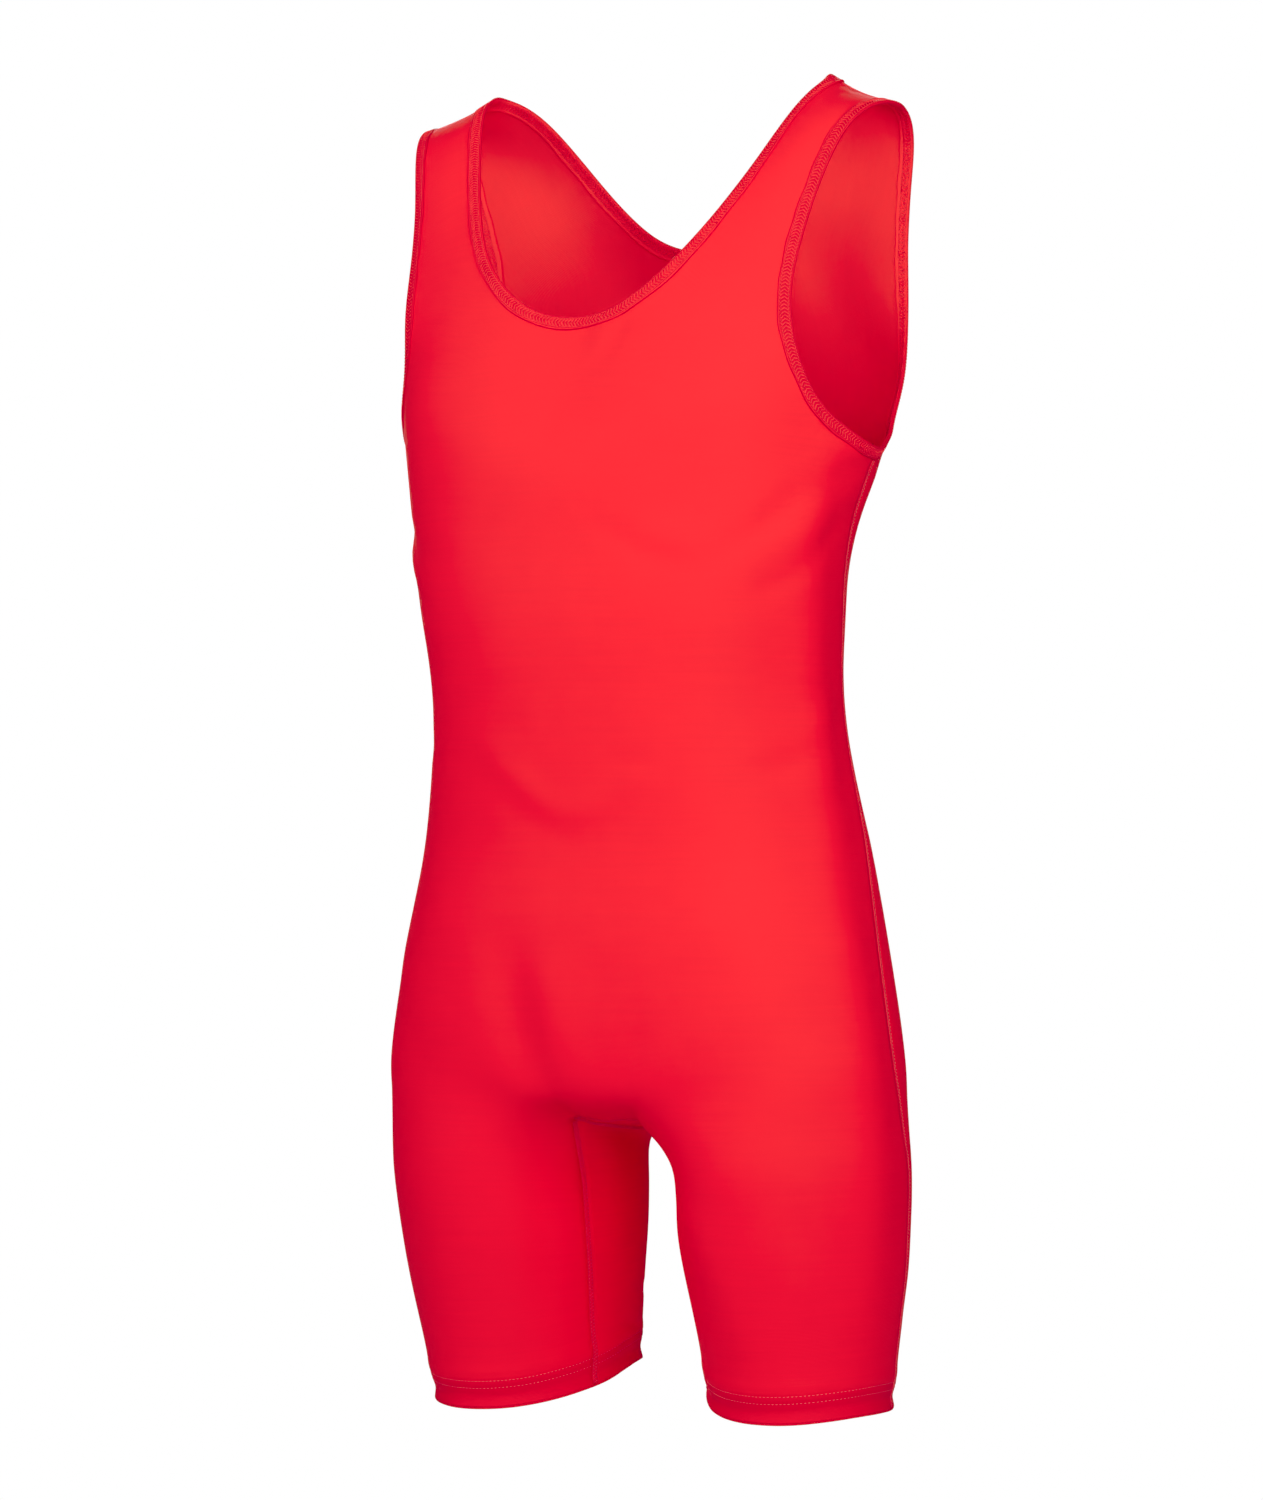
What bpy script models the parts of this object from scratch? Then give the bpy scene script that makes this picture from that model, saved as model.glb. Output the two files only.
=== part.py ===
# Wrestling singlet, filled out as it is worn: a stretch-knit garment with a scoop
# neck, deep armholes, a full back and legs to the lower thigh.
#
# Eight cut and sewn pieces, each its own solid:
#   front_panel, back_panel, crotch_gusset           the body cloth
#   neck_binding, armhole_binding_left / _right      folded bindings that wrap the edges
#   leg_hem_left / leg_hem_right                     the turned-up hem inside each leg end
#
# Frame: +Z up, the front faces -Y, +X is the wearer's left. The origin lies between
# the two shoulder straps, at the height where they rest on the wearer's shoulders.
# The tables are in millimetres; meshes are made in metres.

import math

import bpy
import numpy as np

MM = 0.001

# ---------------------------------------------------------------- driving sizes, mm
CLOTH = 1.2             # wall of the body panels
SEAM_GAP = 0.3          # between two pieces that are sewn together
BINDING_WIDTH = 9.0     # how far a binding reaches over the panel
BINDING_CLOTH = 0.9     # wall of a binding
BINDING_AIR = 0.3       # between a binding and the panel inside it
HEM_CLOTH = 1.0         # wall of the turned-up hem
PANEL_STOP = 1.7        # the panel ends this far inside the binding's fold
LEG_TILT = 24.0         # degrees, the thigh section's long axis leans in at the back

# Torso rings, top to bottom, below the armholes.
TORSO = (
    # z, half_width, middle_y, depth_front, depth_back, squareness, seam_back
    (-256, 164.0, -14, 107, 120, 2.30, 25),
    (-298, 154.0, -19, 102, 115, 2.30, 30),
    (-350, 148.0, -17, 104, 102, 2.30, 32),
    (-404, 144.0,  -8, 107,  91, 2.30, 30),
    (-456, 149.0,  -1, 108,  89, 2.30, 26),
    (-508, 157.5,   3, 106, 101, 2.35, 22),
    (-558, 167.0,  -2, 101, 116, 2.40, 20),
    (-604, 175.0,  -5,  96, 124, 2.45, 20),
    (-646, 182.0,  -6,  90, 123, 2.50, 20),
)
# Share of the ring's length from the centre line to the side seam, columns 0 to 5.
FRONT_SHARE = (0.0, 0.17, 0.345, 0.54, 0.77, 1.0)
BACK_SHARE = (0.0, 0.19, 0.38, 0.58, 0.79, 1.0)

# Two rows where the torso parts into legs. The columns that are not named here lie
# between the hip ring and the first thigh ring.
SEAT_Z, FORK_Z = -671, -697
SEAT = {
    # column: x, y, z
    0: (0, -85, -675), 1: (33, -86, -674), 2: (78, -86, -672),
    8: (81, 113, -672), 9: (38, 108, -672), 10: (0, 101, -670),
}
FORK = {
    0: (0, -52, -689), 1: (24, -52, -690), 2: (76, -81, -697),
    8: (80, 109, -698), 9: (26, 68, -694), 10: (0, 66, -690),
}
GUSSET = (
    # y, middle_z, half_width, edge_z
    (0, -692, 22.5, -696),
    (37, -693, 23.0, -698),
)

# Thigh rings of the wearer's left leg, top to bottom.
LEG = (
    # z, centre_x, centre_y, long_half, short_half, front_full, hem_share
    (-724, 105.9, 14.5, 90.4, 78.1, 10.5, 0.05),
    (-760, 105.0, 17.7, 87.8, 77.0,  7.0, 0.20),
    (-798, 104.7, 22.0, 83.6, 72.8,  5.0, 0.48),
    (-840, 103.6, 27.0, 78.4, 66.2,  2.5, 0.80),
    (-880, 102.0, 31.0, 75.0, 62.5,  0.0, 1.00),
)
# Direction of each thigh column, degrees from the front towards the outside:
# inseam, four front columns up to the side seam, then round the back to the inside.
LEG_ANGLE = (-62, -20, 22, 64, 106, 134, 161, 190, 218, 245, 272)
LEG_TWIST = (-7, -3, 0, 0, 0, 0, 0, 0, 0, 0, -4)   # at the hem: the inseam runs inwards down the leg
LEG_FULL = (0, 1.0, 0.15, 0, 0, 0, 0, 0, 0, 0, 0)   # share of front_full, for the front of the thigh
HEM_HEIGHT = (-8.6, -4.0, -2.8, 8.0, 20.4, 3.8)   # every 60 degrees from the front, round the outside

# Rows above the underarm, points x, y, z from the centre to the armhole.
CHEST = ((0, -108, -207), (43, -110, -206), (86, -105, -203), (125, -88, -196), (153, -61, -187))
NECK_FRONT = ((0, -92, -155), (37, -93, -146), (71, -82, -117), (110, -79, -134), (149, -67, -148))
SHOULDER_BLADES = ((163, 66, -188), (126, 98, -186), (84, 110, -184), (42, 114, -182), (0, 115, -180))
NECK_BACK = ((164, 70, -140), (102, 92, -118), (43, 86, -84), (21, 90, -94), (0, 91, -97))
UNDERARM = ((165, -43, -221), (175, 7, -241), (166, 44, -224))

# Shoulder strap, from the chest over the shoulder to the back.
STRAP = (
    # name, neck edge x, y, z, armhole edge x, y, z, crown
    ('chest_low',   94, -58, -80, 151, -56, -108,  4),
    ('chest_mid',  110, -33, -44, 158, -40,  -66,  5),
    ('chest_high', 124,  -6,  -9, 171, -17,  -25,  2),
    ('shoulder',   130,  23,   9, 182,  22,  -13, -3),
    ('back_high',  112,  44,   0, 178.5, 50, -32,  2),
    ('back_mid',    90,  62, -28, 172,  59,  -64,  5),
    ('back_low',    67,  77, -60, 166,  66, -102,  4),
)

PANELS = ('front_panel', 'back_panel', 'crotch_gusset')


# ---------------------------------------------------------------- the cage
def ring_points(half_width, middle_y, depth_front, depth_back, squareness, seam_back):
    """Eleven points of half a torso ring, front centre to back centre."""
    t = np.linspace(0.0, math.pi, 361)
    c = np.cos(t)
    x = half_width * np.sin(t) ** (2.0 / squareness)
    depth = np.where(c > 0.0, -depth_front, depth_back)
    y = middle_y + depth * np.abs(c) ** (2.0 / squareness)
    length = np.concatenate([[0.0], np.cumsum(np.hypot(np.diff(x), np.diff(y)))])
    seam = np.interp(middle_y + seam_back, y[181:], length[181:])
    places = [share * seam for share in FRONT_SHARE]
    places += [length[-1] - share * (length[-1] - seam) for share in BACK_SHARE[-2::-1]]
    return [(float(np.interp(p, length, x)), float(np.interp(p, length, y))) for p in places]


def hem_height(angle):
    """Height of the hem above its lowest ring, as a smooth closed curve through HEM_HEIGHT."""
    k, f = divmod((angle % 360) / 60, 1)
    a, b, c, d = (HEM_HEIGHT[(int(k) + n) % 6] for n in (-1, 0, 1, 2))
    return b + f * ((c - a) / 2 + f * (a - 2.5 * b + 2 * c - d / 2 + f * (1.5 * (b - c) + (d - a) / 2)))


def thigh_point(row, column):
    """A point of the tilted oval thigh section in the column's direction."""
    z, centre_x, centre_y, long_half, short_half, front_full, hem_share = LEG[row]
    angle = LEG_ANGLE[column] + LEG_TWIST[column] * hem_share
    dx, dy = math.sin(math.radians(angle)), -math.cos(math.radians(angle))
    lx, ly = -math.sin(math.radians(LEG_TILT)), math.cos(math.radians(LEG_TILT))
    along, across = dx * lx + dy * ly, dx * ly - dy * lx
    reach = 1.0 / math.hypot(along / long_half, across / short_half) + front_full * LEG_FULL[column]
    return np.array((centre_x + reach * dx, centre_y + reach * dy,
                     z + hem_share * hem_height(angle)))


def build_cage():
    """The garment's left half: points, faces and each face's panel."""
    points, faces, panels, index = [], [], [], {}

    def point(key, xyz):
        index[key] = len(points)
        points.append(tuple(float(value) for value in xyz))

    def face(panel, *keys):
        faces.append(tuple(index[key] for key in keys))
        panels.append(panel)

    def grid(rows, panel_of):
        for low, high in zip(rows, rows[1:]):
            for k in range(len(low) - 1):
                face(panel_of(k), low[k], low[k + 1], high[k + 1], high[k])

    def torso_panel(column):
        return 0 if column < 5 else 1

    # torso rings; the top one rises towards the armholes
    torso_rows = []
    for r, (z, *shape) in enumerate(TORSO):
        keys = []
        for c, (x, y) in enumerate(ring_points(*shape)):
            height = z
            if r == 0 and 4 <= c <= 6:
                x, y, height = UNDERARM[c - 4]
            elif r == 0 and c < 4:
                height = z + (UNDERARM[0][2] + 6 - z) * 0.8 * (c / 4) ** 2
            elif r == 0:
                height = z + (UNDERARM[2][2] + 6 - z) * 0.8 * ((10 - c) / 4) ** 2
            point(('torso', r, c), (x, y, height))
            keys.append(('torso', r, c))
        torso_rows.append(keys)
    hip = [np.array(points[index[key]]) for key in torso_rows[-1]]
    for name, z, table in (('seat', SEAT_Z, SEAT), ('fork', FORK_Z, FORK)):
        share = (z - TORSO[-1][0]) / (LEG[0][0] - TORSO[-1][0])
        keys = []
        for c in range(11):
            if c in table:
                point((name, c), table[c])
            else:
                x, y, _ = hip[c] * (1 - share) + thigh_point(0, c - 1) * share
                point((name, c), (x * 1.003, y, z))
            keys.append((name, c))
        torso_rows.append(keys)
    grid(torso_rows[::-1], torso_panel)

    # gusset between the legs
    for k, (y, middle_z, half_width, edge_z) in enumerate(GUSSET):
        point(('gusset_middle', k), (0, y, middle_z))
        point(('gusset_edge', k), (half_width, y, edge_z))
    middle = [('fork', 0), ('gusset_middle', 0), ('gusset_middle', 1), ('fork', 10)]
    edge = [('fork', 1), ('gusset_edge', 0), ('gusset_edge', 1), ('fork', 9)]
    for k in range(3):
        face(2, middle[k], middle[k + 1], edge[k + 1], edge[k])

    # leg rings
    upper = [('fork', c) for c in range(1, 10)] + [('gusset_edge', 1), ('gusset_edge', 0)]
    for r in range(len(LEG)):
        for k in range(len(LEG_ANGLE)):
            point(('leg', r, k), thigh_point(r, k))
        lower = [('leg', r, k) for k in range(len(LEG_ANGLE))]
        for k in range(len(lower)):
            following = (k + 1) % len(lower)
            face(0 if k < 4 else 1, lower[k], lower[following], upper[following], upper[k])
        upper = lower

    # chest and shoulder blades
    for name, table, first in (('chest', CHEST, 0), ('neck_front', NECK_FRONT, 0),
                               ('blades', SHOULDER_BLADES, 6), ('neck_back', NECK_BACK, 6)):
        for k, xyz in enumerate(table):
            point((name, first + k), xyz)
    grid([torso_rows[0][0:5], [('chest', c) for c in range(5)],
          [('neck_front', c) for c in range(5)]], lambda k: 0)
    grid([torso_rows[0][6:11], [('blades', c) for c in range(6, 11)],
          [('neck_back', c) for c in range(6, 11)]], lambda k: 1)

    # shoulder strap
    rows = [[('neck_front', c) for c in (2, 3, 4)]]
    for name, *_ in STRAP:
        rows.append([(name, k) for k in range(3)])
    rows.append([('neck_back', c) for c in (8, 7, 6)])
    for name, nx, ny, nz, ax, ay, az, crown in STRAP:
        point((name, 0), (nx, ny, nz))
        point((name, 2), (ax, ay, az))
    for r, (name, *_, crown) in enumerate(STRAP, start=1):
        before = np.array(points[index[rows[r - 1][0]]]) + points[index[rows[r - 1][2]]]
        after = np.array(points[index[rows[r + 1][0]]]) + points[index[rows[r + 1][2]]]
        neck, arm = (np.array(points[index[rows[r][k]]]) for k in (0, 2))
        outward = np.cross(arm - neck, after - before)
        outward /= np.linalg.norm(outward)
        point((name, 1), (neck + arm) / 2 + outward * crown)
    for r in range(len(rows) - 1):
        grid(rows[r:r + 2], lambda k: 0 if r < 4 else 1)
    return np.array(points), faces, panels


# ---------------------------------------------------------------- Blender helpers
def new_object(name, verts, faces, collection, panel=None):
    """verts in millimetres."""
    mesh = bpy.data.meshes.new(name)
    mesh.from_pydata([tuple(v) for v in np.asarray(verts, float) * MM], [], faces)
    mesh.update()
    if panel is not None:
        mesh.attributes.new('panel', 'INT', 'FACE').data.foreach_set('value', panel)
    obj = bpy.data.objects.new(name, mesh)
    collection.objects.link(obj)
    return obj


def evaluated(obj):
    """Points (mm), faces, normals and panel of each face, as the modifiers leave them."""
    depsgraph = bpy.context.evaluated_depsgraph_get()
    depsgraph.update()
    state = obj.evaluated_get(depsgraph)
    mesh = state.to_mesh()
    verts = np.array([v.co[:] for v in mesh.vertices]) / MM
    normals = np.array([n.vector[:] for n in mesh.vertex_normals])
    faces = [tuple(p.vertices) for p in mesh.polygons]
    panel = [item.value for item in mesh.attributes['panel'].data]
    state.to_mesh_clear()
    return verts, faces, normals, panel


def smooth_body(collection, level):
    """Mirror and subdivide the cage so that its smooth surface passes through the
    tables' own points: the cage is moved until it does."""
    target, faces, panels = build_cage()
    cage = new_object('body_cage', target, faces, collection, panels)
    mirror = cage.modifiers.new('mirror', 'MIRROR')
    mirror.use_axis = (True, False, False)
    mirror.merge_threshold = 0.00005
    smooth = cage.modifiers.new('smooth', 'SUBSURF')
    smooth.levels = smooth.render_levels = 1
    moved = target.copy()
    on_plane = np.abs(target[:, 0]) < 1e-6
    for _ in range(30):
        cage.data.vertices.foreach_set('co', (moved * MM).astype(np.float32).ravel())
        cage.data.update()
        verts, *_rest = evaluated(cage)
        moved += target - verts[:len(target)]
        moved[on_plane, 0] = 0.0
    smooth.levels = smooth.render_levels = level
    result = evaluated(cage)
    bpy.data.objects.remove(cage)
    return result


def boundary_edges(faces):
    """Directed edges that only one face uses, in that face's own direction."""
    used = {}
    for number, loop in enumerate(faces):
        for a, b in zip(loop, loop[1:] + loop[:1]):
            used[(a, b)] = number
    return {edge: number for edge, number in used.items() if (edge[1], edge[0]) not in used}


def inward(verts, normals, a, b):
    """In-surface direction from the edge a-b towards its face."""
    along = verts[b] - verts[a]
    side = np.cross(normals[a] + normals[b], along)
    return side / np.linalg.norm(side)


def pull_back(verts, normals, faces, distance_of):
    """How far each border point moves into its piece, mitred at corners."""
    edges = boundary_edges(faces)
    before = {b: (a, b) for a, b in edges}
    after = {a: (a, b) for a, b in edges}
    moves = {}
    for vertex, leaving in after.items():
        arriving = before[vertex]
        m1, m2 = inward(verts, normals, *arriving), inward(verts, normals, *leaving)
        d1, d2 = distance_of(*arriving), distance_of(*leaving)
        c = float(np.dot(m1, m2))
        if c > 0.995:
            moves[vertex] = (m1 + m2) / 2 * max(d1, d2) if abs(d1 - d2) < 1e-9 else m2 * d2
        else:
            moves[vertex] = (d1 * (m1 - c * m2) + d2 * (m2 - c * m1)) / (1 - c * c)
    return moves


# ---------------------------------------------------------------- pieces
def add_binding_strip(verts, faces, normals, panel):
    """Give the neck and the armholes a narrow row of faces as wide as the binding."""
    edges = boundary_edges(faces)
    following = {a: b for a, b in edges}
    loops, seen = [], set()
    for start in sorted(following):
        if start in seen:
            continue
        loop = [start]
        while following[loop[-1]] != start:
            loop.append(following[loop[-1]])
        seen.update(loop)
        loops.append(loop)
    openings = {}
    for loop in loops:
        centre = verts[loop].mean(axis=0)
        if centre[2] < -500:
            openings['leg_left' if centre[0] > 0 else 'leg_right'] = loop
        elif abs(centre[0]) < 40:
            openings['neck'] = loop
        else:
            openings['arm_left' if centre[0] > 0 else 'arm_right'] = loop
    verts, normals = list(verts), list(normals)
    faces, panel = [list(f) for f in faces], list(panel)
    flat = np.array(verts)
    unit = np.array(normals)
    for name in ('neck', 'arm_left', 'arm_right'):
        loop = openings[name]
        inner = {}
        count = len(loop)
        for k, vertex in enumerate(loop):
            m1 = inward(flat, unit, loop[k - 1], vertex)
            m2 = inward(flat, unit, vertex, loop[(k + 1) % count])
            side = (m1 + m2) / np.linalg.norm(m1 + m2)
            # follow the cloth: lean towards the neighbouring points of the surface
            near = [f for f in faces if vertex in f]
            across = [flat[v] - flat[vertex] for f in near for v in f
                      if v not in loop and np.linalg.norm(flat[v] - flat[vertex]) > 1]
            slope = np.mean([np.dot(a, unit[vertex]) / np.dot(a, side) for a in across
                             if np.dot(a, side) > 4])
            inner[vertex] = len(verts)
            verts.append(flat[vertex] + BINDING_WIDTH * side + BINDING_WIDTH * slope * unit[vertex] * 0.5)
            normals.append(unit[vertex])
        for f in faces:
            for k, v in enumerate(f):
                if v in inner:
                    f[k] = inner[v]
        owner = {edge: panel[number] for edge, number in edges.items()}
        for k, vertex in enumerate(loop):
            other = loop[(k + 1) % count]
            faces.append([vertex, other, inner[other]])
            faces.append([vertex, inner[other], inner[vertex]])
            panel += [owner[(vertex, other)]] * 2
        openings[name] = (loop, [inner[v] for v in loop])
    for name in ('leg_left', 'leg_right'):
        loop = openings[name]
        above = []
        for vertex in loop:
            near = {v for f in faces if vertex in f for k, v in enumerate(f)
                    if v not in loop and vertex in (f[k - 1], f[(k + 1) % len(f)])}
            above.append(near.pop())
        openings[name] = (loop, above)
    return (np.array(verts), [tuple(f) for f in faces], np.array(normals),
            panel, openings)


def panel_object(name, number, body, collection, openings):
    """One body panel: its faces, a wall of CLOTH, edges drawn back at the seams."""
    verts, faces, normals, panel = body
    own = [f for f, p in zip(faces, panel) if p == number]
    outer = boundary_edges(faces)
    hem = set(openings['leg_left'][0]) | set(openings['leg_right'][0])

    def distance(a, b):
        if (a, b) not in outer:
            return SEAM_GAP / 2
        return 0.0 if a in hem else PANEL_STOP

    moves = pull_back(verts, normals, own, distance)
    # at a binding the cloth ends on the line that the binding itself follows
    for loop in ('neck', 'arm_left', 'arm_right'):
        for a, b in zip(*openings[loop]):
            if a in moves:
                into = (verts[b] - verts[a]) / np.linalg.norm(verts[b] - verts[a])
                rest = moves[a] - np.dot(moves[a], into) * into
                rest -= np.dot(rest, normals[a]) * normals[a]
                moves[a] = into * PANEL_STOP + rest
    used = sorted({v for f in own for v in f})
    place = {v: k for k, v in enumerate(used)}
    sheet = np.array([verts[v] + moves.get(v, 0.0) for v in used])
    lift = np.array([normals[v] for v in used]) * CLOTH / 2
    count = len(used)
    both = [tuple(place[v] for v in f) for f in own]
    both += [tuple(v + count for v in reversed(f)) for f in both]
    for a, b in boundary_edges(own):
        a, b = place[a], place[b]
        both.append((b, a, a + count, b + count))
    return new_object(name, np.vstack([sheet + lift, sheet - lift]), both, collection)


def binding_object(name, border, body, collection):
    """A folded band: over the outside, round the edge and back up the inside."""
    verts, _faces, normals, _panel = body
    edge, inner = border
    reach = CLOTH / 2 + BINDING_AIR + BINDING_CLOTH / 2
    rows = []
    for a, b in zip(edge, inner):
        into = (verts[b] - verts[a]) / np.linalg.norm(verts[b] - verts[a])
        na, nb = normals[a], normals[b]
        rows.append((verts[b] + nb * reach,
                     verts[a] + into * BINDING_CLOTH + na * reach,
                     verts[a] + into * BINDING_CLOTH / 2,
                     verts[a] + into * BINDING_CLOTH - na * reach,
                     verts[b] - nb * reach))
    points = [p for row in rows for p in row]
    faces = []
    for r in range(len(rows)):
        # the twisted strips fold along the same diagonal as the panel inside them
        p, q = r * 5, (r + 1) % len(rows) * 5
        faces += [(p, p + 1, q), (p + 1, q + 1, q),
                  (p + 1, p + 2, q + 2, q + 1), (p + 2, p + 3, q + 3, q + 2),
                  (p + 3, p + 4, q + 4), (p + 3, q + 4, q + 3)]
    obj = new_object(name, points, faces, collection)
    wall = obj.modifiers.new('wall', 'SOLIDIFY')
    wall.thickness = BINDING_CLOTH * MM
    wall.offset = 0.0
    wall.use_even_offset = True
    wall.use_quality_normals = True
    return obj


def hem_object(name, border, body, collection):
    """The hem's turned-up layer, made from the leg's own points moved in."""
    verts, _faces, normals, _panel = body
    edge, above = border
    depth = CLOTH / 2 + BINDING_AIR + HEM_CLOTH / 2
    points = []
    for a, b in zip(edge, above):
        points += [verts[a] - normals[a] * depth, verts[b] - normals[b] * depth]
    count = len(edge)
    faces = [(2 * r, 2 * ((r + 1) % count), 2 * ((r + 1) % count) + 1, 2 * r + 1)
             for r in range(count)]
    obj = new_object(name, points, faces, collection)
    wall = obj.modifiers.new('wall', 'SOLIDIFY')
    wall.thickness = HEM_CLOTH * MM
    wall.offset = 0.0
    return obj


def knit(name, colour, roughness):
    material = bpy.data.materials.new(name)
    material.use_nodes = True
    shader = material.node_tree.nodes['Principled BSDF']
    shader.inputs['Base Color'].default_value = (*colour, 1.0)
    shader.inputs['Roughness'].default_value = roughness
    shader.inputs['Metallic'].default_value = 0.0
    return material


def main():
    for obj in list(bpy.data.objects):
        bpy.data.objects.remove(obj)
    collection = bpy.data.collections.new('wrestling_singlet')
    bpy.context.scene.collection.children.link(collection)

    verts, faces, normals, panel = smooth_body(collection, 1)
    verts, faces, normals, panel, openings = add_binding_strip(verts, faces, normals, panel)
    body = (verts, faces, normals, panel)

    made = [panel_object(name, number, body, collection, openings)
            for number, name in enumerate(PANELS)]
    made += [binding_object('neck_binding', openings['neck'], body, collection),
             binding_object('armhole_binding_left', openings['arm_left'], body, collection),
             binding_object('armhole_binding_right', openings['arm_right'], body, collection),
             hem_object('leg_hem_left', openings['leg_left'], body, collection),
             hem_object('leg_hem_right', openings['leg_right'], body, collection)]
    for obj in made:
        shade = (0.72, 0.012, 0.030) if obj.name.endswith('_panel') else (0.62, 0.009, 0.024)
        obj.data.materials.append(knit(obj.name + '_knit', shade, 0.55))
        obj.data.shade_smooth()


main()
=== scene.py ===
import math

import bpy
import numpy as np
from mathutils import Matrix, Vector, noise
from mathutils.bvhtree import BVHTree


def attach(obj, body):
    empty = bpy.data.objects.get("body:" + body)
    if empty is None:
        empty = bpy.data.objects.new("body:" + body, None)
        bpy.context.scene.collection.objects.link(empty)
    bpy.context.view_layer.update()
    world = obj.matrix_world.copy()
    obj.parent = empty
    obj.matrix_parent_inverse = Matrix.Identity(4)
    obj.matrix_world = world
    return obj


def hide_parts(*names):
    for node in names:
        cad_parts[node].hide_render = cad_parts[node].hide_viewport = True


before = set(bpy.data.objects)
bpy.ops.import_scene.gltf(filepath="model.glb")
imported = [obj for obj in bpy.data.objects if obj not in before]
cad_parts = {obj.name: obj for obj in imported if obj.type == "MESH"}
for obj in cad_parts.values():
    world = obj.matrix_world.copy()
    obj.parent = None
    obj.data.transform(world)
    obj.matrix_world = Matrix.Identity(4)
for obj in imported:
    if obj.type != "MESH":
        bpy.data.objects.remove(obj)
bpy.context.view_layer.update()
MM = 0.001

# ---------------------------------------------------------------- sizes of the garment, mm
CLOTH = 1.2             # wall of the body panels
SEAM_GAP = 0.3          # between two pieces that are sewn together
PANEL_STOP = 1.7        # a panel ends this far inside a binding's fold
HEM_STOP = 1.2          # and this far inside the hem's fold
LEVEL = 3               # subdivision of the cloth
LEG_TILT = 24.0

TORSO = (
    # z, half_width, middle_y, depth_front, depth_back, squareness, seam_back
    (-256, 164.0, -14, 107, 120, 2.30, 25),
    (-298, 154.0, -19, 102, 115, 2.30, 30),
    (-350, 148.0, -17, 104, 102, 2.30, 32),
    (-404, 144.0,  -8, 107,  91, 2.30, 30),
    (-456, 149.0,  -1, 108,  89, 2.30, 26),
    (-508, 157.5,   3, 106, 101, 2.35, 22),
    (-558, 167.0,  -2, 101, 116, 2.40, 20),
    (-604, 175.0,  -5,  96, 124, 2.45, 20),
    (-646, 182.0,  -6,  90, 123, 2.50, 20),
)
FRONT_SHARE = (0.0, 0.17, 0.345, 0.54, 0.77, 1.0)
BACK_SHARE = (0.0, 0.19, 0.38, 0.58, 0.79, 1.0)
SEAT_Z, FORK_Z = -671, -697
SEAT = {
    # column: x, y, z
    0: (0, -85, -675), 1: (33, -86, -674), 2: (78, -86, -672),
    8: (81, 113, -672), 9: (38, 108, -672), 10: (0, 101, -670),
}
FORK = {
    0: (0, -52, -689), 1: (24, -52, -690), 2: (76, -81, -697),
    8: (80, 109, -698), 9: (26, 68, -694), 10: (0, 66, -690),
}
GUSSET = (
    # y, middle_z, half_width, edge_z
    (0, -692, 22.5, -696),
    (37, -693, 23.0, -698),
)
LEG = (
    # z, centre_x, centre_y, long_half, short_half, front_full, hem_share
    (-724, 105.9, 14.5, 90.4, 78.1, 10.5, 0.05),
    (-760, 105.0, 17.7, 87.8, 77.0,  7.0, 0.20),
    (-798, 104.7, 22.0, 83.6, 72.8,  5.0, 0.48),
    (-840, 103.6, 27.0, 78.4, 66.2,  2.5, 0.80),
    (-880, 102.0, 31.0, 75.0, 62.5,  0.0, 1.00),
)
HEM_ROWS = (26.5, 21.5, 14.0)   # three more rows beside the hem's stitching, mm above the hem
LEG_ANGLE = (-62, -20, 22, 64, 106, 134, 161, 190, 218, 245, 272)
LEG_TWIST = (-7, -3, 0, 0, 0, 0, 0, 0, 0, 0, -4)   # at the hem: the inseam runs inwards down the leg
LEG_FULL = (0, 1.0, 0.15, 0, 0, 0, 0, 0, 0, 0, 0)   # share of front_full, for the front of the thigh
HEM_HEIGHT = (-8.6, -4.0, -2.8, 8.0, 20.4, 3.8)   # every 60 degrees from the front, round the outside

CHEST = ((0, -108, -207), (43, -110, -206), (86, -105, -203), (125, -88, -196), (153, -61, -187))
NECK_FRONT = ((0, -92, -155), (37, -93, -146), (71, -82, -117), (110, -79, -134), (149, -67, -148))
SHOULDER_BLADES = ((163, 66, -188), (126, 98, -186), (84, 110, -184), (42, 114, -182), (0, 115, -180))
NECK_BACK = ((164, 70, -140), (102, 92, -118), (43, 86, -84), (21, 90, -94), (0, 91, -97))
UNDERARM = ((165, -43, -221), (175, 7, -241), (166, 44, -224))
STRAP = (
    # name, neck edge x, y, z, armhole edge x, y, z, crown
    ('chest_low',   94, -58, -80, 151, -56, -108,  4),
    ('chest_mid',  110, -33, -44, 158, -40,  -66,  5),
    ('chest_high', 124,  -6,  -9, 171, -17,  -25,  2),
    ('shoulder',   130,  23,   9, 182,  22,  -13, -3),
    ('back_high',  112,  44,   0, 178.5, 50, -32,  2),
    ('back_mid',    90,  62, -28, 172,  59,  -64,  5),
    ('back_low',    67,  77, -60, 166,  66, -102,  4),
)

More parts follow.
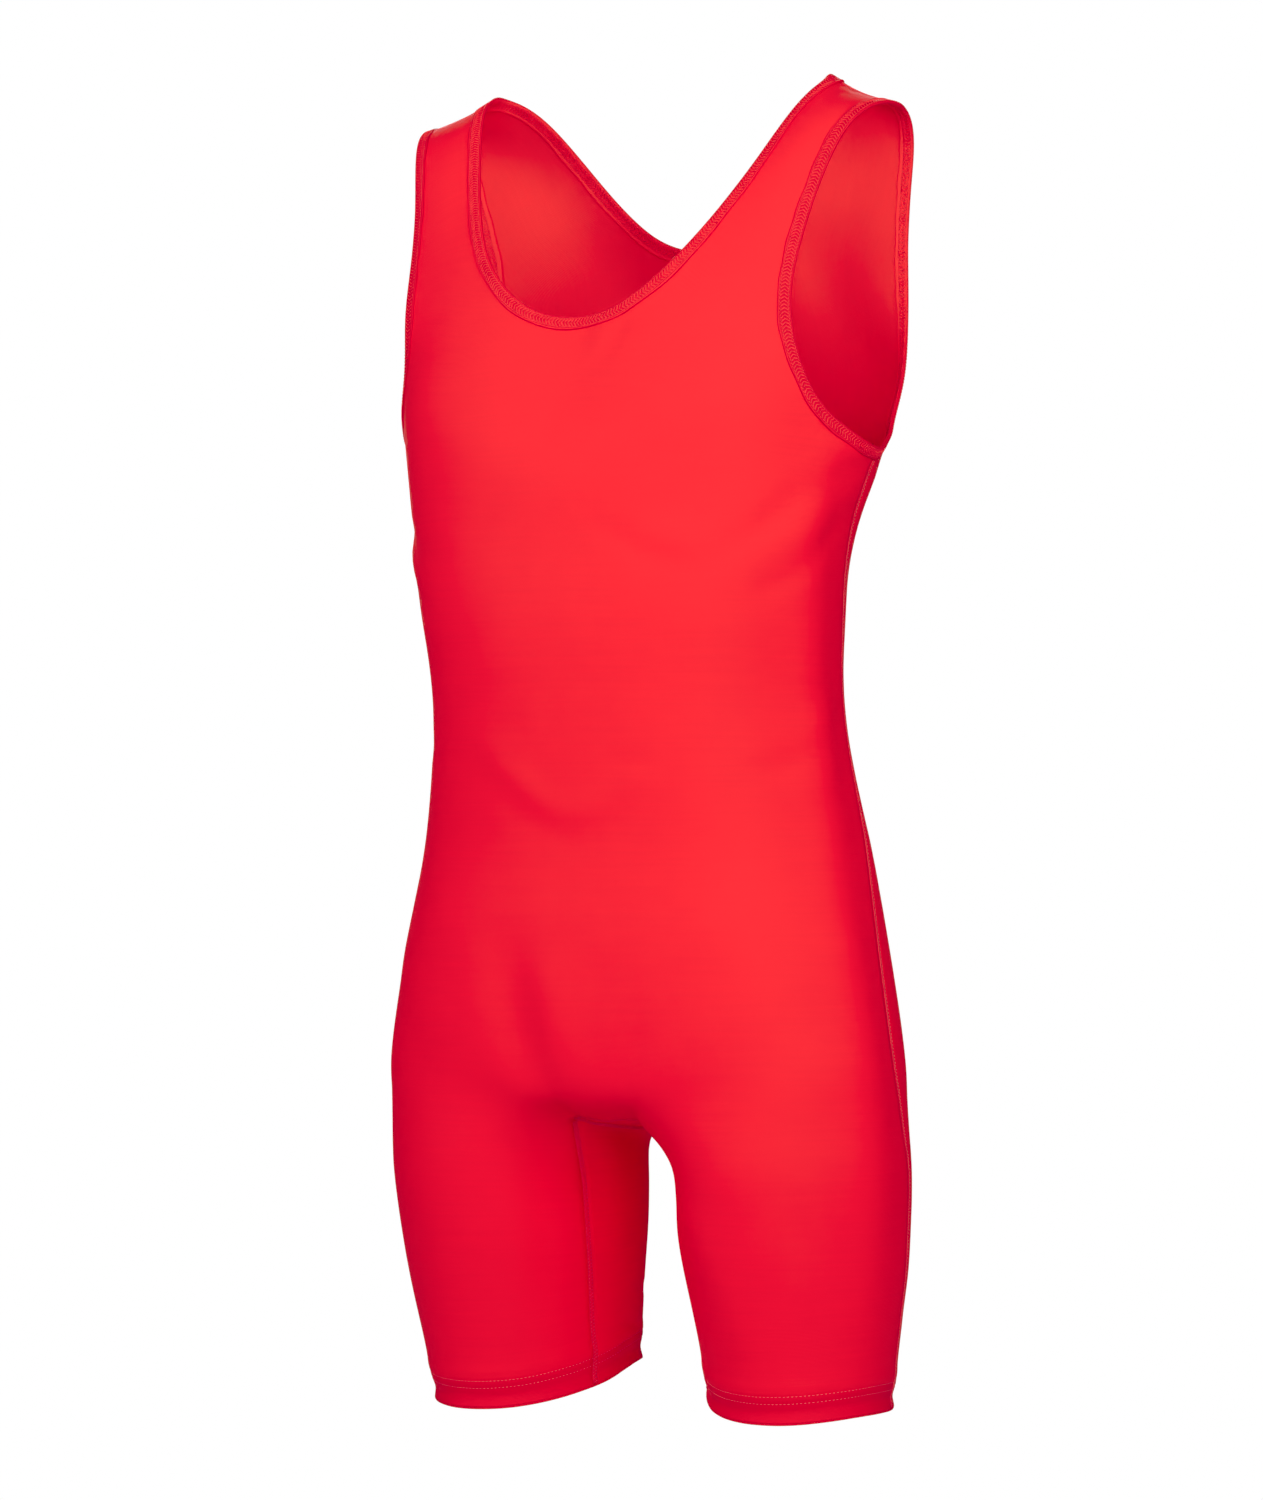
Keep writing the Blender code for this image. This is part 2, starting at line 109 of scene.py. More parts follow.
# ---------------------------------------------------------------- creases, mm
# Each runs through a few places on the cloth, given as a direction round the torso's or one
# leg's own axis (degrees from the front towards the outside of the wearer's left, or of that
# leg) and a height. Depth is negative for a ridge.
CREASES = (
    # name, on, places (angle, z), depth, half width, form: 'dent' fades at both ends, 'root' is
    # deepest at its first place
    ('drag_left_1',   'torso', ((108, -236), (96, -243), (73, -264), (59, -289), (49, -306), (39, -322)), 2.3, 5.0, 'dent'),
    ('drag_left_1b',  'torso', ((104, -252), (86, -272), (70, -294), (58, -312), (46, -330)), -1.6, 7.5, 'dent'),
    ('drag_left_2',   'torso', ((96, -286), (80, -304), (71, -320), (60, -335), (50, -346)), 1.8, 5, 'dent'),
    ('drag_left_3',   'torso', ((100, -240), (88, -246), (76, -252)), -0.9, 6, 'root'),
    ('chest_slope',   'torso', ((10, -286), (15, -297), (21, -308), (30, -318), (40, -324)), 1.6, 4.6, 'dent'),
    ('chest_slope_b', 'torso', ((22, -290), (31, -303), (44, -306)), -1.1, 9, 'dent'),
    ('drag_right_1',  'torso', ((-106, -248), (-76, -280), (-56, -302), (-34, -312)), 1.5, 5.5, 'dent'),
    ('drag_right_1b', 'torso', ((-104, -262), (-78, -296), (-56, -320), (-36, -328)), -1.9, 8, 'dent'),
    ('drag_right_2',  'torso', ((-114, -282), (-88, -316), (-66, -346)), 1.1, 6, 'root'),
    ('waist_sweep',   'torso', ((-33, -424), (-19, -452), (-10, -470), (-2, -484), (8, -482), (24, -460)), -1.35, 8.5, 'dent'),
    ('waist_sweep_b', 'torso', ((-36, -446), (-22, -470), (-10, -490), (4, -500), (20, -486)), 0.4, 8, 'dent'),
    ('waist_wrinkle_1', 'torso', ((14, -446), (21, -453), (28, -451)), 0.9, 3.6, 'dent'),
    ('waist_wrinkle_2', 'torso', ((15, -455), (21, -463), (27, -462)), -0.9, 3.6, 'dent'),
    ('waist_left_1',  'torso', ((84, -440), (74, -447), (62, -455), (52, -458)), 1.5, 5, 'dent'),
    ('waist_left_2',  'torso', ((98, -404), (80, -425), (68, -430)), -1.5, 9, 'dent'),
    ('waist_left_3',  'torso', ((104, -456), (86, -476), (70, -486)), 0.9, 7, 'dent'),
    ('waist_right_1', 'torso', ((-104, -396), (-78, -430), (-58, -440)), 1.2, 7, 'dent'),
    ('under_neck_1',  'torso', ((15, -156), (12, -173), (8, -194)), 1.7, 3.6, 'root'),
    ('under_neck_2',  'torso', ((8, -160), (6, -175), (4, -188)), -1.1, 6, 'root'),
    ('under_neck_3',  'torso', ((-16, -166), (-18, -180), (-18, -194)), 0.5, 5, 'dent'),
    ('belly',         'torso', ((-6, -560), (8, -590), (30, -600)), 0.6, 16, 'dent'),
    ('hip_left',      'torso', ((92, -570), (66, -600), (48, -640)), -0.7, 14, 'dent'),
    ('hip_right',     'torso', ((-88, -566), (-62, -598), (-46, -632)), -0.7, 14, 'dent'),
    ('groin_left',    'seat',  ((21, -56, -691), (28, -84, -673), (44, -94, -640), (58, -95, -604)), 1.8, 9, 'dent'),
    ('groin_right',   'seat',  ((-18, -66, -688), (-25, -87, -664), (-38, -95, -632), (-45, -97, -594), (-42, -98, -552)), 3.6, 17, 'dent'),
    ('groin_right_b', 'seat',  ((-3, -80, -678), (-11, -95, -650), (-15, -98, -612), (-12, -99, -570)), -2.3, 15, 'dent'),
    ('fork_left',     'seat',  ((22, -46, -691), (29, -68, -689), (39, -80, -680), (46, -86, -666)), 2.4, 3.4, 'root'),
    ('fork_right',    'seat',  ((-23, -46, -691), (-19, -70, -687), (-18, -83, -675), (-22, -89, -662)), 2.6, 4.4, 'root'),
    ('gusset_left',   'seat',  ((22, -52, -690), (24, -10, -697), (25, 30, -700)), 1.6, 6, 'dent'),
    ('gusset_right',  'seat',  ((-22, -52, -690), (-24, -8, -697), (-25, 34, -700)), 1.8, 6, 'dent'),
    ('gusset_front',  'seat',  ((-20, -45, -691), (0, -40, -691), (19, -44, -692)), 1.9, 3.2, 'dent'),
    ('gusset_middle', 'seat',  ((-17, -14, -693), (2, -8, -692), (18, -16, -694)), 1.0, 4, 'dent'),
    ('seat_middle',   'seat',  ((0, 80, -686), (0, 112, -650), (0, 118, -606)), 3.2, 11, 'root'),
    ('seat_left_1',   'seat',  ((34, 92, -694), (86, 108, -712), (132, 92, -708)), 2.4, 9, 'dent'),
    ('seat_left_2',   'seat',  ((46, 88, -722), (88, 104, -734), (124, 94, -730)), 1.2, 6, 'dent'),
    ('seat_right_1',  'seat',  ((-34, 92, -696), (-84, 108, -708), (-136, 90, -700)), 2.2, 9, 'dent'),
    ('seat_right_2',  'seat',  ((-52, 86, -728), (-90, 104, -742), (-118, 98, -740)), 1.1, 6, 'dent'),
    ('back_sweep_1',  'torso', ((146, -420), (166, -446), (188, -452), (212, -428)), 1.1, 8, 'dent'),
    ('back_sweep_1b', 'torso', ((150, -436), (168, -461), (188, -467), (206, -448)), -1.0, 8, 'dent'),
    ('back_sweep_2',  'torso', ((138, -462), (160, -489), (196, -495)), 0.9, 8, 'dent'),
    ('back_sweep_3',  'torso', ((170, -392), (192, -404), (220, -390)), -0.9, 8, 'dent'),
    ('blade_left',    'torso', ((112, -262), (134, -300), (158, -318)), -1.9, 8, 'dent'),
    ('blade_left_b',  'torso', ((114, -248), (136, -284), (156, -300)), 1.3, 6, 'dent'),
    ('blade_right',   'torso', ((-112, -266), (-136, -306), (-162, -316)), -1.8, 8, 'dent'),
    ('blade_right_b', 'torso', ((-113, -252), (-138, -290), (-158, -299)), 1.3, 6, 'dent'),
    ('back_neck',     'torso', ((172, -150), (178, -190), (176, -240)), 0.8, 10, 'root'),
    ('side_left',     'torso', ((112, -300), (106, -352), (112, -400)), 0.8, 9, 'dent'),
    ('side_right',    'torso', ((-110, -306), (-104, -346), (-112, -392)), 0.8, 9, 'dent'),
    # the cloth turns quickly from the front to each side
    ('turn_left_0',   'torso', ((93, -220), (80, -244), (73, -272), (72, -310)), -3.4, 13, 'root'),
    ('under_arm_left', 'torso', ((104, -230), (99, -262), (98, -306)), 2.2, 9, 'root'),
    ('turn_left_1',   'torso', ((88, -232), (77, -256), (72, -285), (73, -318), (77, -370), (81, -422), (83, -480), (83, -530)), -3.9, 16, 'dent'),
    ('turn_left_2',   'torso', ((81, -400), (83, -475), (83, -541), (85, -607), (86, -646), (88, -692), (90, -745), (93, -805), (96, -884)), -3.8, 18, 'dent'),
    ('turn_right_1',  'torso', ((-84, -236), (-76, -262), (-71, -300), (-73, -350), (-78, -410), (-82, -470), (-84, -530)), -2.8, 15, 'dent'),
    ('turn_right_2',  'torso', ((-80, -420), (-83, -490), (-84, -560), (-86, -640), (-89, -720), (-93, -805), (-96, -884)), -2.4, 17, 'dent'),
    ('thigh_left_1',  'left',  ((-34, -716), (-6, -740), (26, -752)), 0.6, 9, 'root'),
    ('thigh_left_2',  'left',  ((120, -740), (128, -786), (118, -830)), 0.8, 9, 'dent'),
    ('thigh_left_3',  'left',  ((196, -770), (214, -800), (240, -812)), 1.1, 6, 'dent'),
    ('thigh_left_4',  'left',  ((-22, -728), (-12, -770), (-4, -812), (-2, -850)), -1.6, 12, 'dent'),
    ('knee_left',     'left',  ((250, -806), (272, -812), (292, -806)), 0.8, 3.5, 'dent'),
    ('thigh_right_1', 'right', ((-40, -700), (-48, -738), (-56, -780), (-60, -815)), -1.9, 8, 'root'),
    ('thigh_right_2', 'right', ((-26, -712), (-34, -755), (-38, -800), (-38, -845)), 1.4, 9, 'dent'),
    ('thigh_right_3', 'right', ((150, -760), (140, -800), (146, -836)), 0.9, 9, 'dent'),
    ('thigh_right_4', 'right', ((14, -712), (12, -770), (18, -838)), -0.9, 14, 'dent'),
    ('knee_right_1',  'right', ((222, -808), (244, -812), (262, -806)), 1.0, 3.5, 'dent'),
    ('knee_right_2',  'right', ((228, -832), (248, -836), (268, -828)), 0.9, 3.5, 'dent'),
)


def crease_place(on, place):
    """A point near the cloth, from one place of the table above."""
    if on == 'seat':
        return place
    angle, z = math.radians(place[0]), place[1]
    if on == 'torso':
        return 150 * math.sin(angle), -10 - 107 * math.cos(angle), z
    side = 1 if on == 'left' else -1
    return side * (104 + 80 * math.sin(angle)), 24 - 80 * math.cos(angle), z


# ---------------------------------------------------------------- the cage
def ring_points(half_width, middle_y, depth_front, depth_back, squareness, seam_back):
    """Eleven points of half a torso ring, front centre to back centre."""
    t = np.linspace(0.0, math.pi, 361)
    c = np.cos(t)
    x = half_width * np.sin(t) ** (2.0 / squareness)
    depth = np.where(c > 0.0, -depth_front, depth_back)
    y = middle_y + depth * np.abs(c) ** (2.0 / squareness)
    length = np.concatenate([[0.0], np.cumsum(np.hypot(np.diff(x), np.diff(y)))])
    seam = np.interp(middle_y + seam_back, y[181:], length[181:])
    places = [share * seam for share in FRONT_SHARE]
    places += [length[-1] - share * (length[-1] - seam) for share in BACK_SHARE[-2::-1]]
    return [(float(np.interp(p, length, x)), float(np.interp(p, length, y))) for p in places]


def hem_height(angle):
    """Height of the hem above its lowest ring, as a smooth closed curve through HEM_HEIGHT."""
    k, f = divmod((angle % 360) / 60, 1)
    a, b, c, d = (HEM_HEIGHT[(int(k) + n) % 6] for n in (-1, 0, 1, 2))
    return b + f * ((c - a) / 2 + f * (a - 2.5 * b + 2 * c - d / 2 + f * (1.5 * (b - c) + (d - a) / 2)))


def leg_rows():
    rows = list(LEG[:-1])
    above, hem = LEG[-2], LEG[-1]
    for height in HEM_ROWS:
        share = 1 - height / (above[0] - hem[0])
        rows.append((hem[0] + height,
                     *(a * (1 - share) + b * share for a, b in zip(above[1:6], hem[1:6])), 1.0))
    return rows + [hem]


LEG_ROWS = leg_rows()


def thigh_point(row, column):
    z, centre_x, centre_y, long_half, short_half, front_full, hem_share = LEG_ROWS[row]
    angle = LEG_ANGLE[column] + LEG_TWIST[column] * hem_share
    dx, dy = math.sin(math.radians(angle)), -math.cos(math.radians(angle))
    lx, ly = -math.sin(math.radians(LEG_TILT)), math.cos(math.radians(LEG_TILT))
    along, across = dx * lx + dy * ly, dx * ly - dy * lx
    reach = 1.0 / math.hypot(along / long_half, across / short_half) + front_full * LEG_FULL[column]
    return np.array((centre_x + reach * dx, centre_y + reach * dy,
                     z + hem_share * hem_height(angle)))


def build_cage():
    """The left half: points, faces, each face's panel, and each corner's place in the
    knit, u round the body and v up it, in mm."""
    points, faces, panels, knit, index, place = [], [], [], [], {}, {}

    def point(key, xyz):
        index[key] = len(points)
        points.append(tuple(float(value) for value in xyz))

    def at(key):
        return np.array(points[index[key]])

    def reach(a, b):
        return float(np.linalg.norm(at(a) - at(b)))

    def face(panel, keys, places=None):
        faces.append(tuple(index[key] for key in keys))
        panels.append(panel)
        knit.append([place[key] for key in keys] if places is None else places)

    def grid(rows, panel_of, lookup=None):
        for low, high in zip(rows, rows[1:]):
            for k in range(len(low) - 1):
                keys = (low[k], low[k + 1], high[k + 1], high[k])
                face(panel_of(k), keys, None if lookup is None else [lookup[key] for key in keys])

    def torso_panel(column):
        return 0 if column < 5 else 1

    torso_rows = []
    for r, (z, *shape) in enumerate(TORSO):
        keys = []
        for c, (x, y) in enumerate(ring_points(*shape)):
            height = z
            if r == 0 and 4 <= c <= 6:
                x, y, height = UNDERARM[c - 4]
            elif r == 0 and c < 4:
                height = z + (UNDERARM[0][2] + 6 - z) * 0.8 * (c / 4) ** 2
            elif r == 0:
                height = z + (UNDERARM[2][2] + 6 - z) * 0.8 * ((10 - c) / 4) ** 2
            point(('torso', r, c), (x, y, height))
            keys.append(('torso', r, c))
        torso_rows.append(keys)
    hip = [at(key) for key in torso_rows[-1]]
    for name, z, table in (('seat', SEAT_Z, SEAT), ('fork', FORK_Z, FORK)):
        share = (z - TORSO[-1][0]) / (LEG[0][0] - TORSO[-1][0])
        keys = []
        for c in range(11):
            if c in table:
                point((name, c), table[c])
            else:
                x, y, _ = hip[c] * (1 - share) + thigh_point(0, c - 1) * share
                point((name, c), (x * 1.003, y, z))
            keys.append((name, c))
        torso_rows.append(keys)
    for keys in torso_rows:
        u = 0.0
        for c, key in enumerate(keys):
            u += reach(keys[c - 1], key) if c else 0.0
            place[key] = (u, float(at(key)[2]))
    grid(torso_rows[::-1], torso_panel)

    for k, (y, middle_z, half_width, edge_z) in enumerate(GUSSET):
        point(('gusset_middle', k), (0, y, middle_z))
        point(('gusset_edge', k), (half_width, y, edge_z))
    middle = [('fork', 0), ('gusset_middle', 0), ('gusset_middle', 1), ('fork', 10)]
    edge = [('fork', 1), ('gusset_edge', 0), ('gusset_edge', 1), ('fork', 9)]
    for k in range(3):
        keys = (middle[k], middle[k + 1], edge[k + 1], edge[k])
        face(2, keys, [(float(at(key)[0]), -650.0 - float(at(key)[1])) for key in keys])

    columns = len(LEG_ANGLE)
    upper = [('fork', c) for c in range(1, 10)] + [('gusset_edge', 1), ('gusset_edge', 0)]
    upper_u = [place[('fork', c)][0] for c in range(1, 10)]
    for a, b in ((8, 9), (9, 10), (10, 0)):
        upper_u.append(upper_u[-1] + reach(upper[a], upper[b]))
    upper_v = [float(FORK_Z)] * (columns + 1)
    for r in range(len(LEG_ROWS)):
        for k in range(columns):
            point(('leg', r, k), thigh_point(r, k))
        lower = [('leg', r, k) for k in range(columns)]
        lower_u = [place[('fork', 1)][0]]
        for k in range(columns):
            lower_u.append(lower_u[-1] + reach(lower[k], lower[(k + 1) % columns]))
        lower_v = [float(LEG_ROWS[r][0])] * (columns + 1)
        for k in range(columns):
            following = (k + 1) % columns
            face(0 if k < 4 else 1, (lower[k], lower[following], upper[following], upper[k]),
                 [(lower_u[k], lower_v[k]), (lower_u[k + 1], lower_v[k]),
                  (upper_u[k + 1], upper_v[k]), (upper_u[k], upper_v[k])])
        upper, upper_u, upper_v = lower, lower_u, lower_v

    back_u = place[('torso', 0, 10)][0]
    for name, table, first in (('chest', CHEST, 0), ('neck_front', NECK_FRONT, 0),
                               ('blades', SHOULDER_BLADES, 6), ('neck_back', NECK_BACK, 6)):
        for k, xyz in enumerate(table):
            point((name, first + k), xyz)
        keys = [(name, first + k) for k in range(5)]
        u = 0.0
        for k in (range(5) if first == 0 else range(4, -1, -1)):
            before = k - 1 if first == 0 else k + 1
            u += reach(keys[before], keys[k]) if 0 <= before <= 4 else 0.0
            place[keys[k]] = (u if first == 0 else back_u - u, float(at(keys[k])[2]))
    grid([torso_rows[0][0:5], [('chest', c) for c in range(5)],
          [('neck_front', c) for c in range(5)]], lambda k: 0)
    grid([torso_rows[0][6:11], [('blades', c) for c in range(6, 11)],
          [('neck_back', c) for c in range(6, 11)]], lambda k: 1)

    rows = [[('neck_front', c) for c in (2, 3, 4)]]
    for name, *_ in STRAP:
        rows.append([(name, k) for k in range(3)])
    rows.append([('neck_back', c) for c in (8, 7, 6)])
    for name, nx, ny, nz, ax, ay, az, crown in STRAP:
        point((name, 0), (nx, ny, nz))
        point((name, 2), (ax, ay, az))
    for r, (name, *_, crown) in enumerate(STRAP, start=1):
        before = at(rows[r - 1][0]) + at(rows[r - 1][2])
        after = at(rows[r + 1][0]) + at(rows[r + 1][2])
        neck, arm = at(rows[r][0]), at(rows[r][2])
        outward = np.cross(arm - neck, after - before)
        outward /= np.linalg.norm(outward)
        point((name, 1), (neck + arm) / 2 + outward * crown)
    for part, order, sign in (('front', rows[:5], 1.0), ('back', rows[:3:-1], -1.0)):
        lookup = {key: place[key] for key in order[0]}
        middle_u, v = lookup[order[0][1]]
        for before, row in zip(order, order[1:]):
            v += reach(before[1], row[1])
            lookup[row[0]] = (middle_u - sign * reach(row[0], row[1]), v)
            lookup[row[1]] = (middle_u, v)
            lookup[row[2]] = (middle_u + sign * reach(row[1], row[2]), v)
        if part == 'front':
            grid(order, lambda k: 0, lookup)
        else:
            grid(order[::-1], lambda k: 1, lookup)
    return np.array(points), faces, panels, knit


# ---------------------------------------------------------------- mesh helpers
def unit(v):
    return v / np.maximum(np.linalg.norm(v, axis=-1, keepdims=True), 1e-9)


def evaluated(obj, full=False):
    depsgraph = bpy.context.evaluated_depsgraph_get()
    depsgraph.update()
    state = obj.evaluated_get(depsgraph)
    mesh = state.to_mesh()
    n, m = len(mesh.vertices), len(mesh.polygons)
    verts = np.empty(n * 3, np.float32)
    mesh.vertices.foreach_get('co', verts)
    verts = verts.reshape(n, 3).astype(float) / MM
    if not full:
        state.to_mesh_clear()
        return verts
    corner = np.empty(m * 4, np.int32)
    mesh.loops.foreach_get('vertex_index', corner)
    panel = np.empty(m, np.int32)
    mesh.attributes['panel'].data.foreach_get('value', panel)
    knit = np.empty(m * 8, np.float32)
    mesh.uv_layers['knit'].data.foreach_get('uv', knit)
    state.to_mesh_clear()
    return verts, corner.reshape(m, 4), panel, knit.reshape(m, 4, 2).astype(float)


def smooth_body():
    """Mirrors and subdivides the cage, moved so that its surface passes through the
    tables' own points."""
    target, faces, panels, knit = build_cage()
    mesh = bpy.data.meshes.new('body_cage')
    mesh.from_pydata([tuple(v) for v in target * MM], [], faces)
    mesh.attributes.new('panel', 'INT', 'FACE').data.foreach_set('value', panels)
    layer = mesh.uv_layers.new(name='knit')
    layer.data.foreach_set('uv', (np.array(knit, float) * MM).astype(np.float32).ravel())
    cage = bpy.data.objects.new('body_cage', mesh)
    bpy.context.scene.collection.objects.link(cage)
    mirror = cage.modifiers.new('mirror', 'MIRROR')
    mirror.use_axis = (True, False, False)
    mirror.merge_threshold = 0.00005
    smooth = cage.modifiers.new('smooth', 'SUBSURF')
    smooth.levels = smooth.render_levels = 1
    moved = target.copy()
    on_plane = np.abs(target[:, 0]) < 1e-6
    for _ in range(30):
        mesh.vertices.foreach_set('co', (moved * MM).astype(np.float32).ravel())
        mesh.update()
        moved += target - evaluated(cage)[:len(target)]
        moved[on_plane, 0] = 0.0
    smooth.levels = smooth.render_levels = LEVEL
    result = evaluated(cage, full=True)
    bpy.data.objects.remove(cage)
    bpy.data.meshes.remove(mesh)
    return result


def vertex_normals(P, Q):
    n = np.cross(P[Q[:, 2]] - P[Q[:, 0]], P[Q[:, 3]] - P[Q[:, 1]])
    out = np.zeros_like(P)
    for k in range(4):
        np.add.at(out, Q[:, k], n)
    return unit(out)


def quad_object(name, verts, quads, knit=None, smooth=True, inner=None):
    """verts in mm, quads (m, 4), knit (m, 4, 2) in metres."""
    mesh = bpy.data.meshes.new(name)
    n, m = len(verts), len(quads)
    mesh.vertices.add(n)
    mesh.vertices.foreach_set('co', (np.asarray(verts) * MM).astype(np.float32).ravel())
    mesh.loops.add(m * 4)
    mesh.loops.foreach_set('vertex_index', np.asarray(quads, np.int32).ravel())
    mesh.polygons.add(m)
    mesh.polygons.foreach_set('loop_start', np.arange(m, dtype=np.int32) * 4)
    mesh.polygons.foreach_set('use_smooth', np.full(m, smooth))
    if inner is not None:   # the number of each face's material
        mesh.polygons.foreach_set('material_index', np.asarray(inner, np.int32))
    mesh.update(calc_edges=True)
    if knit is not None:
        layer = mesh.uv_layers.new(name='knit')
        layer.data.foreach_set('uv', np.asarray(knit, np.float32).ravel())
    mesh.validate()
    obj = bpy.data.objects.new(name, mesh)
    bpy.context.scene.collection.objects.link(obj)
    return obj


def catmull(points, closed, step):
    """A smooth line through the points, resampled at even steps of about step mm."""
    points = np.asarray(points, float)
    if closed:
        points = np.vstack([points, points[:1]])
    chord = np.concatenate([[0.0], np.cumsum(np.linalg.norm(np.diff(points, axis=0), axis=1))])
    count = max(2, int(round(chord[-1] / step)))
    t = np.linspace(0, chord[-1], count + 1)
    slope = np.empty_like(points)
    slope[1:-1] = (points[2:] - points[:-2]) / (chord[2:] - chord[:-2])[:, None]
    if closed:
        slope[0] = slope[-1] = (points[1] - points[-2]) / (chord[1] + chord[-1] - chord[-2])
    else:
        slope[0] = (points[1] - points[0]) / (chord[1] - chord[0])
        slope[-1] = (points[-1] - points[-2]) / (chord[-1] - chord[-2])
    k = np.clip(np.searchsorted(chord, t, 'right') - 1, 0, len(chord) - 2)
    h = chord[k + 1] - chord[k]
    f = ((t - chord[k]) / h)[:, None]
    h = h[:, None]
    line = ((2 * f ** 3 - 3 * f ** 2 + 1) * points[k] + (f ** 3 - 2 * f ** 2 + f) * h * slope[k]
            + (-2 * f ** 3 + 3 * f ** 2) * points[k + 1] + (f ** 3 - f ** 2) * h * slope[k + 1])
    return line[:-1] if closed else line


class Surface:
    """The cloth's middle surface, to look points and smooth normals up on."""

    def __init__(self, P, Q, N):
        self.P, self.Q, self.N = P, Q, N
        self.tree = BVHTree.FromPolygons([tuple(p) for p in P], [tuple(q) for q in Q.tolist()])

    def nearest(self, points):
        points = np.asarray(points, float)
        places, face = np.empty_like(points), np.empty(len(points), int)
        for k, p in enumerate(points):
            location, _normal, number, _far = self.tree.find_nearest(Vector(p))
            places[k], face[k] = location, number
        corners = self.Q[face]
        far = np.linalg.norm(self.P[corners] - places[:, None, :], axis=2)
        weight = 1.0 / (far ** 2 + 0.05)
        weight /= weight.sum(axis=1, keepdims=True)
        return places, unit((self.N[corners] * weight[:, :, None]).sum(axis=1))


class Strip:
    """A ribbon of the middle surface beside a line: places s along it and t across it,
    and h out of it, all in mm. side is +1 or -1: the way t grows, by the right-hand rule."""

    def __init__(self, surface, line, closed, step, low, high, spread=1.0, side=1.0):
        line = catmull(line, closed, step)
        self.closed = closed
        count = len(line)
        base, normal = surface.nearest(line)
        base = line if closed else base
        if closed:
            along = unit(np.roll(base, -1, axis=0) - np.roll(base, 1, axis=0))
            length = np.linalg.norm(np.roll(base, -1, axis=0) - base, axis=1)
        else:
            along = unit(np.gradient(base, axis=0))
            length = np.linalg.norm(np.diff(base, axis=0), axis=1)
        self.s = np.concatenate([[0.0], np.cumsum(length)])
        self.length = self.s[-1]
        across = unit(np.cross(normal, along)) * side
        self.t = np.arange(math.floor(low / spread), math.ceil(high / spread) + 1) * spread
        zero = int(np.argmin(np.abs(self.t)))
        P = np.empty((count, len(self.t), 3))
        N = np.empty_like(P)
        P[:, zero], N[:, zero] = base, normal
        for sign, order in ((1, range(zero + 1, len(self.t))), (-1, range(zero - 1, -1, -1))):
            here, heading, last = base, across * sign, normal
            for j in order:
                ahead = here + heading * spread
                if closed and sign < 0:
                    place, facing = ahead, last
                else:
                    place, facing = surface.nearest(ahead)
                step_taken = unit(place - here)
                heading = unit(heading - (heading * facing).sum(1, keepdims=True) * facing)
                heading = unit(heading + 0.0 * step_taken)
                P[:, j], N[:, j] = place, facing
                here, last = place, facing
        self.P, self.N = P, N

    def at(self, s, t, h):
        s, t, h = np.broadcast_arrays(*(np.asarray(v, float) for v in (s, t, h)))
        if self.closed:
            s = np.mod(s, self.length)
        rows = len(self.P)
        i = np.clip(np.searchsorted(self.s, s, 'right') - 1, 0, len(self.s) - 2)
        f = (s - self.s[i]) / (self.s[i + 1] - self.s[i])
        j = np.clip(((t - self.t[0]) / (self.t[1] - self.t[0])).astype(int), 0, len(self.t) - 2)
        g = (t - self.t[j]) / (self.t[j + 1] - self.t[j])
        i2 = (i + 1) % rows if self.closed else np.minimum(i + 1, rows - 1)
        i = i % rows
        f, g = f[..., None], g[..., None]

        def mix(A):
            return ((A[i, j] * (1 - g) + A[i, j + 1] * g) * (1 - f)
                    + (A[i2, j] * (1 - g) + A[i2, j + 1] * g) * f)
        return mix(self.P) + unit(mix(self.N)) * h[..., None]


